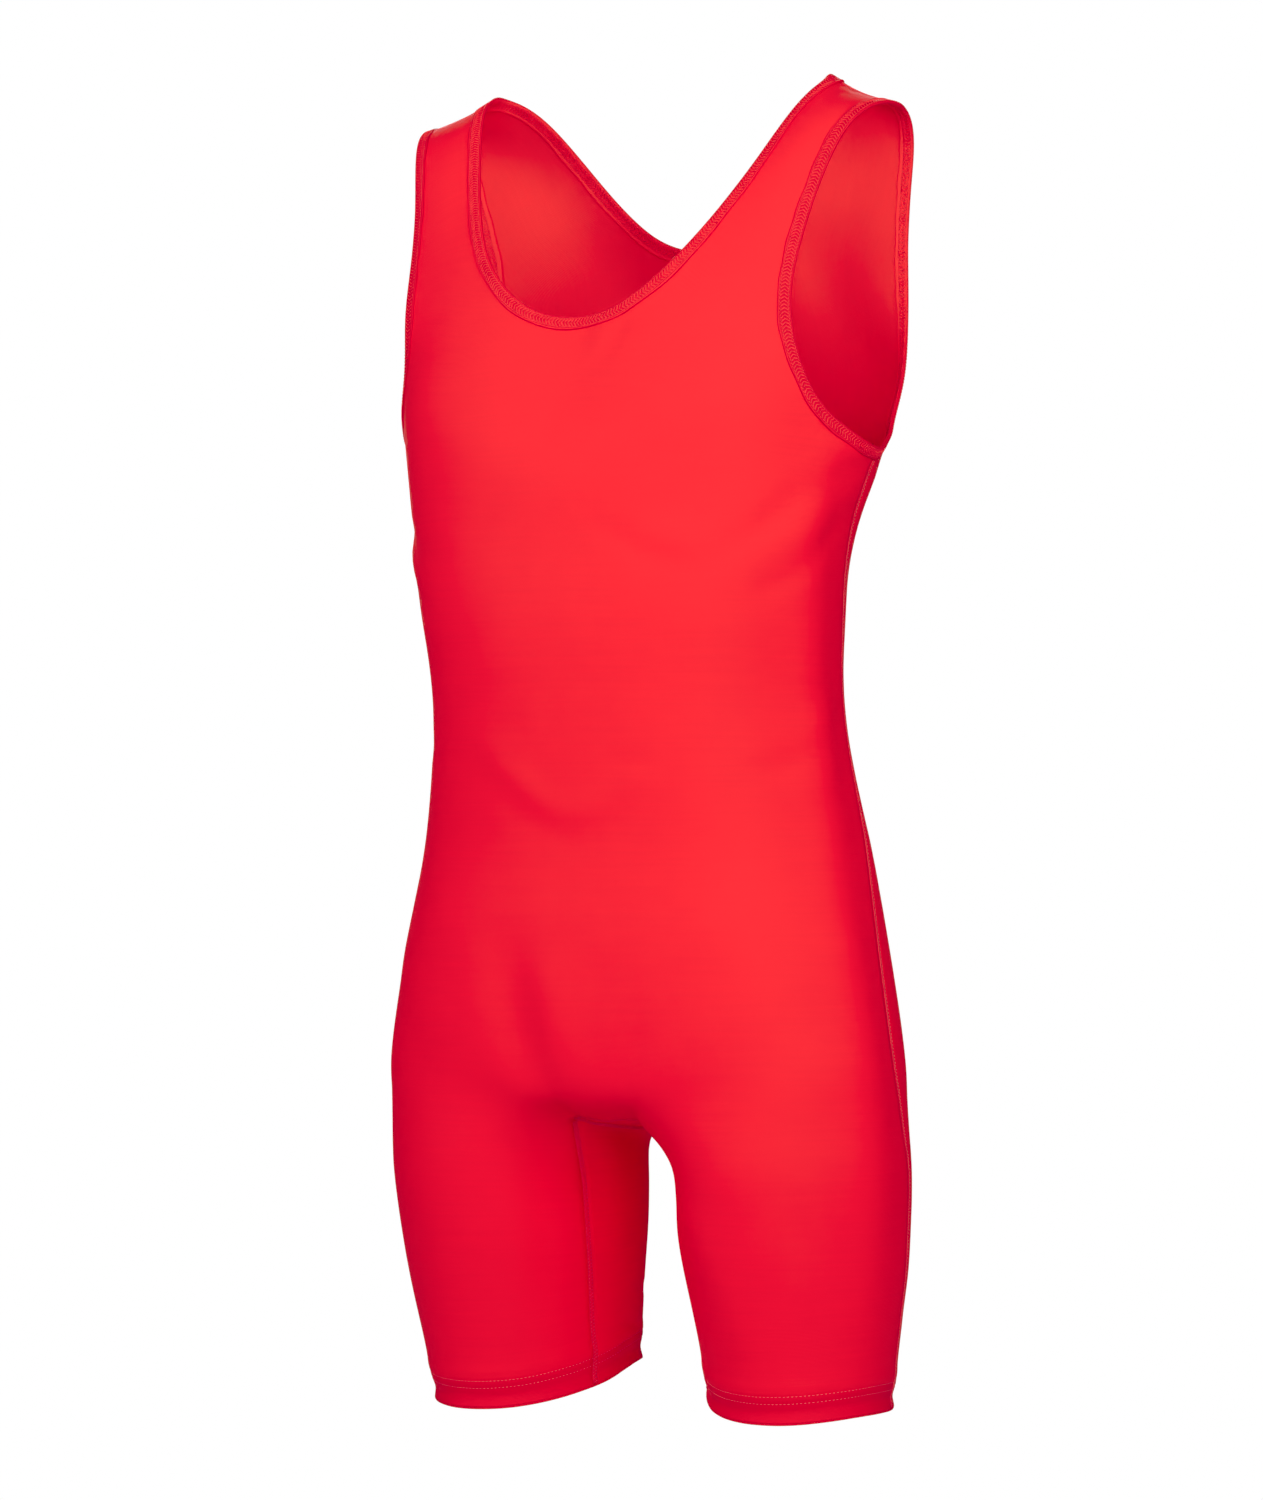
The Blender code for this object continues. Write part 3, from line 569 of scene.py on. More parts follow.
def loft(name, strip, section, step, wave=None, across=None):
    """A closed ring of section points (t, h) swept along the strip. across gives each point's
    place in the knit, else it is measured round the section."""
    section = np.asarray(section, float)
    count = max(8, int(round(strip.length / step)))
    s = np.arange(count) * strip.length / count if strip.closed else \
        np.linspace(0, strip.length, count + 1)
    T, H = np.broadcast_to(section[:, 0], (len(s), len(section))), \
        np.broadcast_to(section[:, 1], (len(s), len(section)))
    if wave is not None:
        T, H = wave(s[:, None], T, H)
    verts = strip.at(s[:, None], T, H)
    rows, k = verts.shape[:2]
    grid = np.arange(rows * k).reshape(rows, k)
    if strip.closed:
        a, b = grid, np.roll(grid, -1, axis=0)
    else:
        a, b = grid[:-1], grid[1:]
    quads = np.stack([a, np.roll(a, -1, axis=1), np.roll(b, -1, axis=1), b], axis=-1).reshape(-1, 4)
    round_it = np.concatenate([[0.0], np.cumsum(np.linalg.norm(
        np.roll(section, -1, axis=0) - section, axis=1))])
    if across is not None:
        round_it = np.append(across, across[0])
    ends = np.append(s, strip.length) if strip.closed else s
    us = np.broadcast_to(round_it[None, :], (len(ends), k + 1))
    vs = np.broadcast_to(ends[:, None], (len(ends), k + 1))
    knit = np.stack([np.stack([us[:-1, :-1], vs[:-1, :-1]], -1), np.stack([us[:-1, 1:], vs[:-1, 1:]], -1),
                     np.stack([us[1:, 1:], vs[1:, 1:]], -1), np.stack([us[1:, :-1], vs[1:, :-1]], -1)],
                    axis=2).reshape(-1, 4, 2) * MM
    quads, flat = quads.tolist(), verts.reshape(-1, 3)
    if not strip.closed:   # close the two ends with a strip of quads each
        extra = []
        for ring, turn in ((grid[0], False), (grid[-1], True)):
            for n in range(k // 2 - 1):
                q = [int(ring[n]), int(ring[n + 1]), int(ring[k - 2 - n]), int(ring[k - 1 - n])]
                extra.append(q if turn else q[::-1])
        knit = np.concatenate([knit, np.zeros((len(extra), 4, 2))])
        quads += extra
    quads = np.array(quads)
    # faces point out: compare one ring's own turn with the strip's direction
    p = flat[quads[: k * 4]]
    middle = p.mean(axis=1)
    out = np.cross(p[:, 2] - p[:, 0], p[:, 3] - p[:, 1])
    centre = verts[:4].mean(axis=1).mean(axis=0)
    if ((middle - centre) * out).sum() < 0:
        quads = quads[:, ::-1]
        knit = knit[:, ::-1]
    return quad_object(name, flat, quads, knit)


def tubes(paths, radius, sides=4):
    """Thread ends on many short paths (n, rings, 3): vertices and quads, ends closed."""
    n, rings, _ = paths.shape
    along = unit(np.gradient(paths, axis=1))
    up = np.zeros_like(along)
    up[..., 2] = 1.0
    level = np.abs(along[..., 2]) > 0.9
    up[level] = (1.0, 0.0, 0.0)
    side = unit(np.cross(along, up))
    other = np.cross(along, side)
    turn = (np.arange(sides) + 0.5) / sides * 2 * math.pi
    radius = np.broadcast_to(np.asarray(radius, float), (n, rings))
    verts = (paths[:, :, None, :] + radius[:, :, None, None]
             * (side[:, :, None, :] * np.cos(turn)[None, None, :, None]
                + other[:, :, None, :] * np.sin(turn)[None, None, :, None]))
    grid = np.arange(n * rings * sides).reshape(n, rings, sides)
    a, b = grid[:, :-1], grid[:, 1:]
    quads = np.stack([a, np.roll(a, -1, axis=2), np.roll(b, -1, axis=2), b], axis=-1).reshape(-1, 4)
    ends = []
    for ring, turned in ((grid[:, 0], True), (grid[:, -1], False)):
        if sides == 4:
            groups = [ring]
        else:
            groups = [ring[:, [0, 1, 2, 3]], ring[:, [0, 3, 4, 5]]]
        for quad in groups:
            ends.append(quad[:, ::-1] if turned else quad)
    return verts.reshape(-1, 3), np.vstack([quads] + ends)


def thread_object(name, groups):
    """groups: list of (verts, quads) joined in one mesh."""
    verts, quads, offset = [], [], 0
    for v, q in groups:
        verts.append(v)
        quads.append(q + offset)
        offset += len(v)
    return quad_object(name, np.vstack(verts), np.vstack(quads))


def stitch_line(strip, t, pitch, height, radius, start=0.0, fill=0.82, sides=4, rise=0.28):
    """Short arched stitches one after another along the strip at t."""
    count = int((strip.length - start) / pitch)
    pitch = (strip.length - start) / count
    s0 = start + (np.arange(count) + (1 - fill) / 2) * pitch
    f = np.linspace(0, 1, 5)
    s = s0[:, None] + f[None, :] * pitch * fill
    lift = height + rise * np.sin(math.pi * f) - math.copysign(0.30, rise) * (np.abs(2 * f - 1) ** 6)
    paths = strip.at(s, np.full_like(s, t) if np.isscalar(t) else t(s), np.broadcast_to(lift, s.shape))
    return tubes(paths, radius, sides)


def zigzag(strip, low, high, pitch, height, radius, start=0.0, rings=5, rise=0.12, lean=0.5):
    """Looper threads that cross from one needle line to the other and back."""
    count = int((strip.length - start) / pitch)
    pitch = (strip.length - start) / count
    s0 = start + np.arange(count) * pitch
    f = np.linspace(0, 1, rings)
    lift = height + rise * np.sin(math.pi * f)
    made = []
    for a, b, shift in ((low, high, 0.0), (high, low, lean)):
        s = s0[:, None] + (shift + f[None, :] * lean) * pitch
        t = np.broadcast_to(a + (b - a) * f, s.shape)
        made.append(tubes(strip.at(s, t, np.broadcast_to(lift, s.shape)), radius, 4))
    return made


def chevrons(strip, low, high, pitch, height, radius, lean=1.9, rise=0.1, rings=4):
    """Looper threads that lean forward to the middle of the stitching and back again."""
    count = int(strip.length / pitch)
    pitch = strip.length / count
    s0 = np.arange(count) * pitch
    f = np.linspace(0, 1, rings)
    middle = (low + high) / 2
    made = []
    for a, b, lead in ((low, middle, f), (middle, high, 1 - f)):
        s = s0[:, None] + lead[None, :] * lean
        t = np.broadcast_to(a + (b - a) * f, s.shape)
        lift = np.broadcast_to(height + rise * np.sin(math.pi * f), s.shape)
        made.append(tubes(strip.at(s, t, lift), radius, 4))
    return made


# ---------------------------------------------------------------- body surface
P, Q, panel, knit = smooth_body()
N = vertex_normals(P, Q)


def boundary_edges(quads):
    used = {}
    for number, loop in enumerate(quads):
        for k in range(4):
            used[(loop[k - 1], loop[k])] = number
    return {edge: number for edge, number in used.items() if (edge[1], edge[0]) not in used}


def find_openings(quads):
    following = dict(boundary_edges(quads).keys())
    openings, seen = {}, set()
    for start in sorted(following):
        if start in seen:
            continue
        loop = [start]
        while following[loop[-1]] != start:
            loop.append(following[loop[-1]])
        seen.update(loop)
        centre = P[loop].mean(axis=0)
        if centre[2] < -500:
            name = 'leg_left' if centre[0] > 0 else 'leg_right'
        elif abs(centre[0]) < 40:
            name = 'neck'
        else:
            name = 'arm_left' if centre[0] > 0 else 'arm_right'
        openings[name] = loop
    return openings


def find_seams(quads):
    """Chains of points where two panels meet, by name."""
    owner, edges = {}, {}
    for number, loop in enumerate(quads):
        for k in range(4):
            owner[(loop[k - 1], loop[k])] = number
    for (a, b), number in owner.items():
        other = owner.get((b, a))
        if other is not None and a < b and panel[other] != panel[number]:
            pair = tuple(sorted((int(panel[number]), int(panel[other]))))
            edges.setdefault(a, []).append((b, pair))
            edges.setdefault(b, []).append((a, pair))
    chains, done = [], set()
    ends = [v for v, near in edges.items()
            if len(near) != 2 or near[0][1] != near[1][1]]
    for start in sorted(ends):
        for second, pair in edges[start]:
            if (start, second) in done:
                continue
            chain = [start, second]
            while chain[-1] not in ends:
                chain.append(next(v for v, _p in edges[chain[-1]] if v != chain[-2]))
            done.update({(chain[0], chain[1]), (chain[-1], chain[-2])})
            chains.append((pair, chain))
    named = {}
    for pair, chain in chains:
        middle = P[chain].mean(axis=0)
        if P[chain[0]][2] < P[chain[-1]][2]:
            chain = chain[::-1]
        hand = 'left' if middle[0] > 0 else 'right'
        if pair == (0, 1):
            if middle[2] > -60:
                name = 'shoulder_' + hand
            elif abs(middle[0]) > 110:
                name = 'side_' + hand
            else:
                name = 'inseam_' + hand
        elif pair == (0, 2):
            name = 'gusset_front'
            chain = chain if P[chain[0]][0] < P[chain[-1]][0] else chain[::-1]
        else:
            # round the gusset's back, with a corner at each end of its far edge
            chain = chain if P[chain[0]][0] > 0 else chain[::-1]
            n = 2 ** LEVEL
            named['gusset_side_left'] = [chain[:3 * n + 1]]
            named['gusset_side_right'] = [chain[5 * n:]]
            name, chain = 'gusset_back', chain[3 * n:5 * n + 1]
        named.setdefault(name, []).append(chain)
    return named


quads_list = Q.tolist()
openings = find_openings(quads_list)
seams = find_seams(quads_list)
print('openings', {k: len(v) for k, v in openings.items()})
print('seams', {k: [len(c) for c in v] for k, v in seams.items()})


def segment_distance(points, line):
    """Distance from each point to a polyline, and how far along it, 0 to 1."""
    a, b = line[:-1], line[1:]
    ab = b - a
    size = (ab ** 2).sum(1)
    rel = points[:, None, :] - a[None]
    f = np.clip((rel * ab[None]).sum(2) / size[None], 0, 1)
    gap = np.linalg.norm(rel - f[..., None] * ab[None], axis=2)
    k = gap.argmin(axis=1)
    rows = np.arange(len(points))
    return gap[rows, k], (k + f[rows, k]) / len(a)


def crease_height(surface):
    height = np.zeros(len(P))
    for name, on, places, depth, width, form in CREASES:
        controls, _ = surface.nearest(np.array([crease_place(on, place) for place in places], float))
        line = catmull(controls, False, max(2.5, width / 3))
        line, _ = surface.nearest(line)
        low, high = line.min(0) - 4 * width, line.max(0) + 4 * width
        near = np.flatnonzero(np.all((P > low) & (P < high), axis=1))
        gap, along = segment_distance(P[near], line)
        x = gap / width
        if form == 'root':
            fade = (1 - along) ** 0.9
        else:
            fade = np.sin(math.pi * np.clip(along, 0.02, 0.98)) ** 0.8
        # a trough has a slight lip on each side, where the cloth it takes in stands up
        shape = np.exp(-x ** 2 / 2) * (1 - 0.18 * x ** 2)
        height[near] -= depth * fade * shape
    return height


def unevenness():
    """Slack that a stretched knit keeps: a few tenths of a millimetre, slowly changing."""
    out = np.empty(len(P))
    for k, p in enumerate(P):
        q = Vector(p)
        out[k] = 0.35 * noise.noise(q * 0.011) + 0.20 * noise.noise(q * 0.027 + Vector((7, 3, 1)))
    return out


surface = Surface(P, Q, N)
height = crease_height(surface) + unevenness()
# the hem's stitching pinches the cloth a little, unevenly
for name in ('leg_left', 'leg_right'):
    loop = P[openings[name] + openings[name][:1]]
    near = np.flatnonzero((P[:, 2] < -815) & (P[:, 0] * (1 if name == 'leg_left' else -1) > 0))
    gap, along = segment_distance(P[near], loop)
    angle = along * 2 * math.pi
    pucker = 0.5 * np.sin(angle * 17 + 1.0) + 0.35 * np.sin(angle * 29 + 2.2) + 0.3 * np.sin(angle * 11)
    pinch = np.exp(-((gap - 17.5) / 3.6) ** 2)
    lines = np.exp(-((gap - 15.0) / 0.9) ** 2) + np.exp(-((gap - 20.0) / 0.9) ** 2)
    flare = np.clip(1 - gap / 14, 0, 1) ** 2
    # below the stitching the doubled cloth leans in, then out again to its fold
    lean = np.exp(-((gap - 8.5) / 6.0) ** 2)
    height[near] += ((-0.20 - 0.14 * pucker) * pinch - 0.26 * lines - 1.90 * lean
                     + 0.22 * flare + 0.12 * pucker * flare)
P = P + N * height[:, None]
N = vertex_normals(P, Q)
surface = Surface(P, Q, N)


# ---------------------------------------------------------------- panels
def panel_shell(name, number):
    """One body panel as a thin closed shell, its edges drawn back at seams and folds."""
    own = np.flatnonzero(panel == number)
    quads = Q[own]
    edges = boundary_edges(quads.tolist())
    outer = boundary_edges(quads_list)
    hem = set(openings['leg_left']) | set(openings['leg_right'])
    before = {b: (a, b) for a, b in edges}
    after = {a: (a, b) for a, b in edges}

    def inward(a, b):
        side = np.cross(N[a] + N[b], P[b] - P[a])
        return side / np.linalg.norm(side)

    def distance(a, b):
        if (a, b) not in outer:
            return SEAM_GAP / 2
        return HEM_STOP if a in hem else PANEL_STOP

    moves = {}
    for vertex, leaving in after.items():
        arriving = before[vertex]
        m1, m2 = inward(*arriving), inward(*leaving)
        d1, d2 = distance(*arriving), distance(*leaving)
        c = float(np.dot(m1, m2))
        if c > 0.98:
            moves[vertex] = (m1 + m2) / 2 * max(d1, d2) if abs(d1 - d2) < 1e-9 else m2 * d2
        else:
            moves[vertex] = (d1 * (m1 - c * m2) + d2 * (m2 - c * m1)) / (1 - c * c)
    used = np.unique(quads)
    place = np.full(len(P), -1)
    place[used] = np.arange(len(used))
    sheet = P[used].copy()
    for vertex, move in moves.items():
        sheet[place[vertex]] += move
    lift = N[used] * CLOTH / 2
    count = len(used)
    top = place[quads]
    under = top[:, ::-1] + count
    rim, rim_knit = [], []
    corner_of = {}
    for f, loop in enumerate(quads.tolist()):
        for k in range(4):
            corner_of[(loop[k - 1], loop[k])] = (f, (k - 1) % 4, k)
    for a, b in edges:
        pa, pb = place[a], place[b]
        rim.append((pb, pa, pa + count, pb + count))
        f, ka, kb = corner_of[(a, b)]
        ua, ub = knit[own[f], ka], knit[own[f], kb]
        rim_knit.append((ub, ua, ua, ub))
    all_quads = np.vstack([top, under, np.array(rim)])
    all_knit = np.concatenate([knit[own], knit[own][:, ::-1], np.array(rim_knit)])
    inner = np.zeros(len(all_quads), np.int32)
    inner[len(top):2 * len(top)] = 1
    centre = P[quads].mean(axis=1)
    for opening, side in (('leg_left', 1), ('leg_right', -1)):   # doubled cloth below the stitching, given the darker hem material: painted shade
        low = np.flatnonzero((centre[:, 2] < -815) & (centre[:, 0] * side > 0))
        if len(low):
            gap, along = segment_distance(centre[low], P[openings[opening] + openings[opening][:1]])
            inner[low[gap < 19.9]] = 2
    return quad_object(name, np.vstack([sheet + lift, sheet - lift]), all_quads, all_knit, inner=inner)


# ---------------------------------------------------------------- materials
def node(tree, kind, **values):
    made = tree.nodes.new(kind)
    for key, value in values.items():
        if key in made.inputs:
            made.inputs[key].default_value = value
        else:
            setattr(made, key, value)
    return made


def knit_material(name, colour, deep, pitch=0.00075, bump=0.25, sheen=0.02, roughness=0.6,
                  ribs=False):
    """Stretch knit: fine courses and wales, faint streaks along the courses."""
    material = bpy.data.materials.new(name)
    material.use_nodes = True
    tree = material.node_tree
    link = tree.links.new
    shader = tree.nodes['Principled BSDF']
    shader.inputs['Roughness'].default_value = roughness
    shader.inputs['Sheen Weight'].default_value = sheen
    shader.inputs['Sheen Roughness'].default_value = 0.25
    shader.inputs['Sheen Tint'].default_value = (1.0, 0.62, 0.66, 1.0)
    shader.inputs['Specular IOR Level'].default_value = 0.06
    uv = node(tree, 'ShaderNodeUVMap', uv_map='knit')
    split = tree.nodes.new('ShaderNodeSeparateXYZ')
    link(uv.outputs['UV'], split.inputs['Vector'])

    def wave(source, period, power=None):
        scaled = node(tree, 'ShaderNodeMath', operation='MULTIPLY')
        link(source, scaled.inputs[0])
        scaled.inputs[1].default_value = 2 * math.pi / period
        sine = node(tree, 'ShaderNodeMath', operation='SINE')
        link(scaled.outputs[0], sine.inputs[0])
        return sine.outputs[0]

    # the face shows its courses, the back its wales
    first, second = ('X', 'Y') if ribs else ('Y', 'X')
    courses = wave(split.outputs[first], pitch)
    wales = wave(split.outputs[second], pitch * 0.82)
    both = node(tree, 'ShaderNodeMath', operation='MULTIPLY_ADD')
    link(wales, both.inputs[0])
    both.inputs[1].default_value = 0.45
    link(courses, both.inputs[2])
    # streaks: noise drawn out along the courses
    stretch = node(tree, 'ShaderNodeMapping')
    stretch.inputs['Scale'].default_value = (480.0, 12.0, 1.0) if ribs else (14.0, 620.0, 1.0)
    link(uv.outputs['UV'], stretch.inputs['Vector'])
    streak = node(tree, 'ShaderNodeTexNoise', noise_dimensions='2D')
    streak.inputs['Scale'].default_value = 1.0
    streak.inputs['Detail'].default_value = 3.0
    link(stretch.outputs['Vector'], streak.inputs['Vector'])
    soft = node(tree, 'ShaderNodeTexNoise', noise_dimensions='2D')
    soft.inputs['Scale'].default_value = 22.0
    soft.inputs['Detail'].default_value = 2.0
    link(uv.outputs['UV'], soft.inputs['Vector'])
    blend = node(tree, 'ShaderNodeMath', operation='MULTIPLY_ADD')
    link(streak.outputs['Fac'], blend.inputs[0])
    blend.inputs[1].default_value = 0.6
    part = node(tree, 'ShaderNodeMath', operation='MULTIPLY')
    link(soft.outputs['Fac'], part.inputs[0])
    part.inputs[1].default_value = 0.4
    link(part.outputs[0], blend.inputs[2])
    ramp = tree.nodes.new('ShaderNodeValToRGB')
    ramp.color_ramp.elements[0].position = 0.30
    ramp.color_ramp.elements[0].color = (*deep, 1.0)
    ramp.color_ramp.elements[1].position = 0.70
    ramp.color_ramp.elements[1].color = (*colour, 1.0)
    link(blend.outputs[0], ramp.inputs['Fac'])
    link(ramp.outputs['Color'], shader.inputs['Base Color'])
    relief = node(tree, 'ShaderNodeMath', operation='MULTIPLY_ADD')
    link(streak.outputs['Fac'], relief.inputs[0])
    relief.inputs[1].default_value = 1.2
    link(both.outputs[0], relief.inputs[2])
    raise_it = node(tree, 'ShaderNodeBump')
    raise_it.inputs['Strength'].default_value = bump
    raise_it.inputs['Distance'].default_value = 0.00012
    link(relief.outputs[0], raise_it.inputs['Height'])
    link(raise_it.outputs['Normal'], shader.inputs['Normal'])
    return material


def thread_material(name, colour):
    material = bpy.data.materials.new(name)
    material.use_nodes = True
    tree = material.node_tree
    link = tree.links.new
    shader = tree.nodes['Principled BSDF']
    shader.inputs['Roughness'].default_value = 0.45
    shader.inputs['Sheen Weight'].default_value = 0.04
    shader.inputs['Sheen Roughness'].default_value = 0.35
    shader.inputs['Sheen Tint'].default_value = (1.0, 0.5, 0.5, 1.0)
    shader.inputs['Specular IOR Level'].default_value = 0.15
    where = tree.nodes.new('ShaderNodeTexCoord')
    grain = node(tree, 'ShaderNodeTexNoise')
    grain.inputs['Scale'].default_value = 900.0
    grain.inputs['Detail'].default_value = 2.0
    link(where.outputs['Object'], grain.inputs['Vector'])
    ramp = tree.nodes.new('ShaderNodeValToRGB')
    ramp.color_ramp.elements[0].position = 0.35
    ramp.color_ramp.elements[0].color = (colour[0] * 0.82, colour[1] * 0.7, colour[2] * 0.75, 1.0)
    ramp.color_ramp.elements[1].position = 0.65
    ramp.color_ramp.elements[1].color = (*colour, 1.0)
    link(grain.outputs['Fac'], ramp.inputs['Fac'])
    link(ramp.outputs['Color'], shader.inputs['Base Color'])
    return material


def binding_material(name, colour, deep):
    """The binding's knit. Its places are the distance from the fold and the way along it, so
    the coverstitched zone beside the fold, on either face, has its holes and looper rows.
    Shade is painted on between that zone's threads, along the fold and along the band's outer
    edge, and the inner face is painted paler as painted light."""
    material = knit_material(name, colour, deep, pitch=0.0008, bump=0.3)
    tree = material.node_tree
    link = tree.links.new
    shader = tree.nodes['Principled BSDF']

    def maths(operation, a, b=None, c=None, clamp=False):
        made = node(tree, 'ShaderNodeMath', operation=operation)
        made.use_clamp = clamp
        for socket, value in zip(made.inputs, (a, b, c)):
            if isinstance(value, (int, float)):
                socket.default_value = value
            elif value is not None:
                link(value, socket)
        return made.outputs[0]

    uv = node(tree, 'ShaderNodeUVMap', uv_map='knit')
    split = tree.nodes.new('ShaderNodeSeparateXYZ')
    link(uv.outputs['UV'], split.inputs['Vector'])
    t = maths('MULTIPLY', maths('ABSOLUTE', split.outputs['X']), 1000.0)
    s_ = maths('MULTIPLY', split.outputs['Y'], 1000.0)
    # 1 inside the stitched zone, fading over half a millimetre at its edges
    zone = maths('MULTIPLY', maths('MULTIPLY_ADD', t, 2.2, -1.1, True),
                 maths('MULTIPLY_ADD', t, -2.0, 17.2, True))
    pulled = maths('SINE', maths('MULTIPLY', s_, 2 * math.pi / 2.3))
    # the stitched zone's ground is darkened: its needle holes, and painted shade between the threads
    holes = maths('MULTIPLY', zone, maths('MULTIPLY_ADD', pulled, 0.2, 0.8))
    edge = maths('MULTIPLY_ADD', t, -1.0, 0.9, True)       # the fold itself, painted darker: painted shade
    # painted shadow in a strip along the band's outer edge, where it steps down to the cloth; outer face only
    groove_shadow = maths('MULTIPLY', maths('MULTIPLY_ADD', t, 4.0, -35.2, True),
                   maths('MULTIPLY_ADD', t, -4.0, 45.0, True))
    outside = maths('MULTIPLY_ADD', split.outputs['X'], 1000.0, 1.0, True)   # 0 on the inner face
    # painted shade: between the stitched zone's threads, along the fold and along the band's outer edge
    painted_shade = maths('MAXIMUM', maths('MULTIPLY', holes, maths('MULTIPLY_ADD', outside, 0.20, 0.16)),
                 maths('MULTIPLY', edge, 0.5))
    painted_shade = maths('MAXIMUM', painted_shade, maths('MULTIPLY', maths('MULTIPLY', groove_shadow, 0.55), outside))
    # painted light: the band's inner face is made paler, lifting the shade it lies in under the strap
    ramp = shader.inputs['Base Color'].links[0].from_socket
    pale = node(tree, 'ShaderNodeMix', data_type='RGBA')
    link(maths('MULTIPLY_ADD', outside, -0.85, 0.85), pale.inputs['Factor'])
    link(ramp, pale.inputs[6])
    pale.inputs[7].default_value = (0.98, 0.058, 0.054, 1.0)
    # the colour is mixed toward dark red wherever that painted shade lies
    mix = node(tree, 'ShaderNodeMix', data_type='RGBA')
    link(painted_shade, mix.inputs['Factor'])
    link(pale.outputs[2], mix.inputs[6])
    mix.inputs[7].default_value = (0.40, 0.012, 0.016, 1.0)
    link(mix.outputs[2], shader.inputs['Base Color'])
    bump = next(n for n in tree.nodes if n.type == 'BUMP')
    under = bump.inputs['Height'].links[0].from_socket
    link(maths('MULTIPLY_ADD', maths('MULTIPLY', zone, pulled), 1.2, under), bump.inputs['Height'])
    return material


body_knit = knit_material('body_knit', (0.84, 0.030, 0.031), (0.81, 0.029, 0.030))
# a darker copy of the body knit for the hem band and the doubled cloth below the stitching: painted shade at the
# bottom of the legs
hem_knit_painted_shade = knit_material('hem_knit_painted_shade', (0.75, 0.026, 0.029), (0.72, 0.025, 0.028))
binding_knit = binding_material('binding_knit', (0.86, 0.0335, 0.036), (0.80, 0.030, 0.032))
# the armhole bindings: a darker copy of the neck binding's knit, painted shade
armhole_knit_painted_shade = binding_material('armhole_knit_painted_shade', (0.77, 0.0295, 0.032), (0.715, 0.0265, 0.029))
# the knit's reverse face, for the inside of the cloth: its own look with wales, made paler still as painted light to
# brighten the inside
inside_knit_and_painted_light = knit_material('inside_knit_and_painted_light', (0.895, 0.0485, 0.0450), (0.875, 0.0475, 0.0440), pitch=0.0009,
                            bump=0.4, ribs=True)
thread = thread_material('thread_red', (0.90, 0.052, 0.054))
hem_thread = thread_material('hem_thread_pale', (0.92, 0.16, 0.21))
seam_thread = thread_material('seam_thread_pale', (0.89, 0.086, 0.102))

# ---------------------------------------------------------------- pieces
made = []


def keep(obj, material, slot, *nodes, lining=None, doubled=None):
    obj.data.materials.append(material)
    if lining is not None:
        obj.data.materials.append(lining)
    if doubled is not None:
        obj.data.materials.append(doubled)
    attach(obj, 'root')
    if nodes:
        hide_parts(*nodes)
    made.append(obj)
    return obj


# the third material, on the doubled cloth at the leg openings, is the darker hem knit: painted shade
front = keep(panel_shell('front_cloth', 0), body_knit, 'body_knit', 'front_panel', lining=inside_knit_and_painted_light,
             doubled=hem_knit_painted_shade)
back = keep(panel_shell('back_cloth', 1), body_knit, 'body_knit', 'back_panel', lining=inside_knit_and_painted_light,
            doubled=hem_knit_painted_shade)
gusset = keep(panel_shell('gusset_cloth', 2), body_knit, 'body_knit', 'crotch_gusset', lining=inside_knit_and_painted_light)

# Binding, from the edge of the outside band, over the fold, to the edge of the inside band:
# t, h, where t is the distance from the fold and h the height over the cloth's middle. The
# coverstitch holds it flat near the fold, and its free edges are fuller.
BAND_OUT = (
    (9.45, 0.45), (9.40, 0.85), (9.15, 1.22), (8.7, 1.42), (8.1, 1.40), (7.4, 1.22), (6.0, 1.12),
    (4.3, 1.14), (2.6, 1.16), (1.3, 1.08), (0.5, 0.84), (0.08, 0.42), (-0.05, 0.0),
)
BAND_INSIDE = (
    (0.08, -0.42), (0.5, -0.84), (1.3, -1.06), (2.6, -1.16), (4.3, -1.16), (6.0, -1.14),
    (7.4, -1.16), (8.6, -1.32), (9.8, -1.46), (10.5, -1.44), (10.95, -1.22), (11.1, -0.95),
    (11.05, -0.78),
)
BAND_LINING = (
    (10.2, -0.72), (8.0, -0.74), (5.0, -0.74), (2.6, -0.72), (1.6, -0.45), (1.4, 0.0), (1.6, 0.45),
    (2.6, 0.72), (5.0, 0.74), (7.4, 0.72), (8.8, 0.62),
)
BAND = BAND_OUT + BAND_INSIDE + BAND_LINING
BAND_PLACE = [t for t, _h in BAND_OUT] + [-t for t, _h in BAND_INSIDE] + [-12.0] * len(BAND_LINING)

